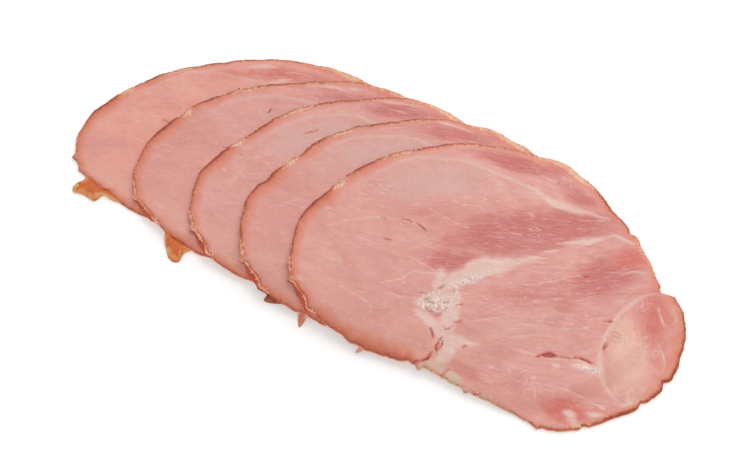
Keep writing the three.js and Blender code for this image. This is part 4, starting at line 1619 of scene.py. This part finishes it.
@dataclass
class HeelStrip:
    """The loose strip of fat and skin that runs along the heel of a slice, from its tab to the lower rim."""

    index: int
    start: float = 0.9545
    end: float = 0.894
    thickness: float = 0.42  # mm, radius
    steps: int = 90
    places: int = 26  # where its course is read
    sides: int = 10
    out: float = 0.1  # mm out from the rim
    hold_back: float = 0.2  # mm less than the heel's wall slants in
    sway: float = 0.5  # mm that its course strays
    sway_up: float = 0.4  # share of that by which it rises and sinks
    lump_pitch: float = 2.0  # mm
    lump: float = 0.7  # mm
    knob_pitch: float = 3.5  # mm from one thick place to the next
    knobs_from: tuple[float, float] = (0.35, 0.7)  # values of the noise where it is thinnest and thickest
    girths: tuple[float, float] = (0.45, 1.7)  # thinnest and thickest, against its thickness

    def build(self, mesh: SliceMesh) -> bpy.types.Object:
        """Grows the strip along the rim.

        Args:
            mesh: the slice that it runs along.

        Returns:
            The piece.
        """
        share = np.linspace(self.start, self.end, self.places)
        sway = self.sway * Grain(Seed.STRIP + self.index).at(share * GIRTH, share, 5)
        flare = mesh.heel_flare(share)
        path = mesh.on_face(mesh.rim_place(share, self.out - (HEEL_IN - self.hold_back) * flare), self.out)
        path[:, 2] += sway * self.sway_up
        growth = Growth("heel_strip", {"Thickness": self.thickness * MM, "Steps": self.steps,
                                       "Noise scale": 1 / (self.lump_pitch * MM), "Noise height": self.lump * MM})
        tree = growth.tree
        curve = add_node(tree, "GeometryNodeMeshToCurve", None, {0: growth.inputs["Geometry"]})
        even = add_node(tree, "GeometryNodeResampleCurve", None, {
            "Curve": curve.outputs[0], "Count": growth.inputs["Steps"]})
        where = add_node(tree, "GeometryNodeInputPosition")
        knobs = add_node(tree, "ShaderNodeTexNoise", None, {
            "Vector": where.outputs[0], "Scale": 1 / (self.knob_pitch * MM), "Detail": 1.0})
        girth = add_node(tree, "ShaderNodeMapRange", None, {
            "Value": knobs.outputs[0], "From Min": self.knobs_from[0], "From Max": self.knobs_from[1],
            "To Min": self.girths[0], "To Max": self.girths[1]})
        ring = add_node(tree, "GeometryNodeCurvePrimitiveCircle", None, {
            "Resolution": self.sides, "Radius": growth.inputs["Thickness"]})
        tube = add_node(tree, "GeometryNodeCurveToMesh", None, {
            "Curve": even.outputs[0], "Profile Curve": ring.outputs[0], "Scale": girth.outputs[0],
            "Fill Caps": True})
        edges = [(k, k + 1) for k in range(len(path) - 1)]
        return growth.bake(tube.outputs[0], f"{SLICES[self.index].name}_heel_strip", path, edges,
                           RIM_STRIP.build())


@dataclass(frozen=True)
class CrumbRun:
    """A stretch of rim where crumbs of fat and skin lie."""

    start: float
    end: float
    depth: float  # mm in from the rim
    count: int
    slices: tuple[int, ...] = (0, 1, 2, 3, 4)


# Crumbs on the rims: radius, how far in from the rim they lie at least and how deep they sink in, in mm; and the
# power by which they crowd to the rim.
CRUMB_SIZE, CRUMB_INSET, CRUMB_SINK, CRUMB_CROWDING = 0.34, 0.2, 0.05, 1.5
# Grains of fat: radius, how far inside the fat and the rim they lie and how deep they sink in, in mm; and how often
# they lie where the fat isn't curdled.
GRAIN_SIZE, GRAIN_IN_FAT, GRAIN_INSET, GRAIN_SINK, GRAIN_ASTRAY = 0.27, 0.2, 1.5, 0.02, 0.01

CRUMB_RUNS = (
    CrumbRun(0.046, 0.062, 2.6, 34, (1, 2, 3, 4)), CrumbRun(0.064, 0.098, 0.7, 8), CrumbRun(0.098, 0.150, 1.2, 26),
    CrumbRun(0.885, 0.950, 1.2, 12, (1, 2, 3, 4)), CrumbRun(0.965, 0.995, 0.5, 5), CrumbRun(0.30, 0.345, 3.0, 18),
    CrumbRun(0.600, 0.665, 3.0, 20, (4,)), CrumbRun(0.735, 0.800, 1.8, 12, (4,)), CrumbRun(0.35, 0.50, 0.8, 14, (4,)),
)


@dataclass
class Crumbs:
    """Crumbs strewn over a face, each a small uneven lump."""

    name: str
    size: float  # mm, radius
    finish: MoistTrim
    seed: int
    noise_pitch: float = 0.7  # mm
    unevenness: float = 0.5  # share of the radius
    flattest: tuple[float, float, float] = (0.4, 0.35, 0.25)  # a crumb's length, width and height are drawn
    stoutest: tuple[float, float, float] = (1.8, 1.1, 0.55)  # between these shares of the radius
    tilt: tuple[float, float, float] = (0.5, 0.5, 2 * math.pi)  # radians that it is turned at most

    def build(self, points: np.ndarray) -> bpy.types.Object:
        """Grows a crumb on every point.

        Args:
            points: their places, mm.

        Returns:
            The piece.
        """
        growth = Growth("crumbs", {
            "Size": self.size * MM, "Seed": self.seed, "Noise scale": 1 / (self.noise_pitch * MM),
            "Noise height": self.unevenness * self.size * MM})
        tree = growth.tree
        lump = add_node(tree, "GeometryNodeMeshIcoSphere", None, {
            "Radius": growth.inputs["Size"], "Subdivisions": 2})
        scale = add_node(tree, "FunctionNodeRandomValue", {"data_type": "FLOAT_VECTOR"}, {
            0: self.flattest, 1: self.stoutest, "Seed": growth.inputs["Seed"]})
        turn = add_node(tree, "FunctionNodeRandomValue", {"data_type": "FLOAT_VECTOR"}, {
            0: (0.0, 0.0, 0.0), 1: self.tilt, "Seed": growth.inputs["Seed"]})
        strewn = add_node(tree, "GeometryNodeInstanceOnPoints", None, {
            "Points": growth.inputs["Geometry"], "Instance": lump.outputs[0], "Scale": scale.outputs[0],
            "Rotation": turn.outputs[0]})
        return growth.bake(strewn.outputs[0], self.name, points, [], self.finish.build())


def rim_crumbs(mesh: SliceMesh) -> bpy.types.Object:
    """Strews crumbs along the rim of a slice, more of them near it than further in.

    Args:
        mesh: the slice.

    Returns:
        The piece.
    """
    rng = np.random.default_rng(Seed.CRUMB_PLACE + mesh.index)
    places = []
    for run in CRUMB_RUNS:
        if mesh.index in run.slices:
            shares = rng.uniform(run.start, run.end, run.count)
            for share, depth in zip(shares, run.depth * rng.uniform(0, 1, run.count) ** CRUMB_CROWDING):
                places.append(mesh.rim_place(np.array([share]), -depth - CRUMB_INSET)[0])
    points = mesh.on_face(np.array(places), -CRUMB_SINK)
    name, seed = f"{mesh.own.name}_rim_crumbs", Seed.CRUMB_SHAPE + mesh.index
    return Crumbs(name, CRUMB_SIZE, FAT_CRUMB, seed).build(points)


def fat_grains(mesh: SliceMesh, count: int) -> bpy.types.Object:
    """Strews grains over the fat of a slice, mostly where it is widest.

    Args:
        mesh: the slice.
        count: how many.

    Returns:
        The piece.
    """
    rng = np.random.default_rng(Seed.GRAIN_PLACE + mesh.index)
    fat = mesh.fields.values["fat"]
    chosen = np.flatnonzero((mesh.level == 0) & (fat > GRAIN_IN_FAT) & (mesh.edge > GRAIN_INSET))
    weight = mesh.fields.values["curd"][chosen] ** 2 + GRAIN_ASTRAY
    picked = rng.choice(chosen, count, replace=False, p=weight / weight.sum())
    points = np.column_stack([mesh.plan[picked], mesh.height[picked] - GRAIN_SINK])
    name, seed = f"{mesh.own.name}_fat_grains", Seed.GRAIN_SHAPE + mesh.index
    return Crumbs(name, GRAIN_SIZE, WHITE_FAT, seed).build(points)


# ---- the studio ----


@dataclass(frozen=True)
class SoftBox:
    """A soft square light that faces the ham."""

    name: str
    azimuth_deg: float
    elevation_deg: float
    distance: float  # m
    size: float  # m
    power: float  # W


def seen_from(azimuth_deg: float, elevation_deg: float) -> Vector:
    """Returns the direction from the ham to a camera or light."""
    a, e = math.radians(azimuth_deg), math.radians(elevation_deg)
    return Vector((math.sin(a) * math.cos(e), -math.cos(a) * math.cos(e), math.sin(e)))


@dataclass(frozen=True)
class Studio:
    """A white table under soft light, seen as the photograph sees it."""

    azimuth_deg: float = 31.0
    elevation_deg: float = 58.0
    distance: float = 455.75  # mm from the lens to the place that it looks at
    looks_at: tuple[float, float] = (7.507, -14.441)  # mm in the row, from which its middle is measured
    lens: float = 47.87  # mm
    sensor: float = 36.0  # mm
    clip_start: float = 0.01  # m
    floor_size: float = 4000.0  # mm
    floor_gap: float = 0.05  # mm below the ham
    sky: float = 0.62  # strength of the white light from all round
    boxes: tuple[SoftBox, ...] = (
        SoftBox("key", 170, 52, 1.1, 0.8, 5.6), SoftBox("front", 20, 50, 1.3, 0.9, 2.2),
    )

    def camera(self, row: Row) -> None:
        """Makes the camera.

        Args:
            row: the slices as they lie.
        """
        back = seen_from(self.azimuth_deg, self.elevation_deg)
        target = Vector((self.looks_at[0] + row.middle[0], self.looks_at[1] + row.middle[1], 0)) * MM
        data = bpy.data.cameras.new("camera")
        data.sensor_fit = "HORIZONTAL"
        data.sensor_width, data.lens = self.sensor, self.lens
        data.clip_start = self.clip_start
        camera = bpy.data.objects.new("camera", data)
        camera.location = target + back * (self.distance * MM)
        camera.rotation_euler = (-back).to_track_quat("-Z", "Y").to_euler()
        bpy.context.scene.collection.objects.link(camera)
        bpy.context.scene.camera = camera

    def floor(self) -> None:
        """Makes the table top."""
        half = self.floor_size / 2
        corners = np.array([(-half, -half), (half, -half), (half, half), (-half, half)])
        points = np.column_stack([corners, np.full(4, -self.floor_gap)])
        write_mesh("table_top", points, [[0, 1, 2, 3]], StudioFloor().build())

    def lights(self) -> None:
        """Makes the sky and the soft boxes."""
        world = bpy.data.worlds.new("studio")
        world.use_nodes = True
        background = world.node_tree.nodes["Background"].inputs
        background["Color"].default_value = (1.0, 1.0, 1.0, 1.0)
        background["Strength"].default_value = self.sky
        bpy.context.scene.world = world
        bpy.context.scene.view_settings.view_transform = "Standard"
        for box in self.boxes:
            back = seen_from(box.azimuth_deg, box.elevation_deg)
            data = bpy.data.lights.new(box.name, "AREA")
            data.size, data.energy = box.size, box.power
            light = bpy.data.objects.new(box.name, data)
            light.location = back * box.distance
            light.rotation_euler = (-back).to_track_quat("-Z", "Y").to_euler()
            bpy.context.scene.collection.objects.link(light)


def add_piece(piece: bpy.types.Object, replaced: str = "") -> None:
    """Declares a piece to the frame and reports it.

    Args:
        piece: the piece.
        replaced: the node that it takes the place of, if any.
    """
    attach(piece, BODY)
    if replaced:
        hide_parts(replaced)
    log.info("%s: %d faces", piece.name, len(piece.data.polygons))


def main() -> None:
    """Dresses the slices, builds the studio and logs each piece's number of faces."""
    logging.basicConfig(level=logging.INFO, format="%(name)s: %(message)s")
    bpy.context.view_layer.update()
    row = Row()
    for index, own in enumerate(SLICES):
        mesh = SliceMesh(row, index)
        add_piece(mesh.write(CutHam(f"cut_ham_{index + 1}", own.lean, index).build()), own.name)
        add_piece(TONGUES[index].build(row))
        add_piece(rim_crumbs(mesh))
        if index > 0:
            add_piece(HeelStrip(index).build(mesh))
        if index == GRAINY_SLICE:
            add_piece(fat_grains(mesh, FAT_GRAINS))
    studio = Studio()
    studio.camera(row)
    studio.floor()
    studio.lights()


if __name__ == "__main__":
    main()
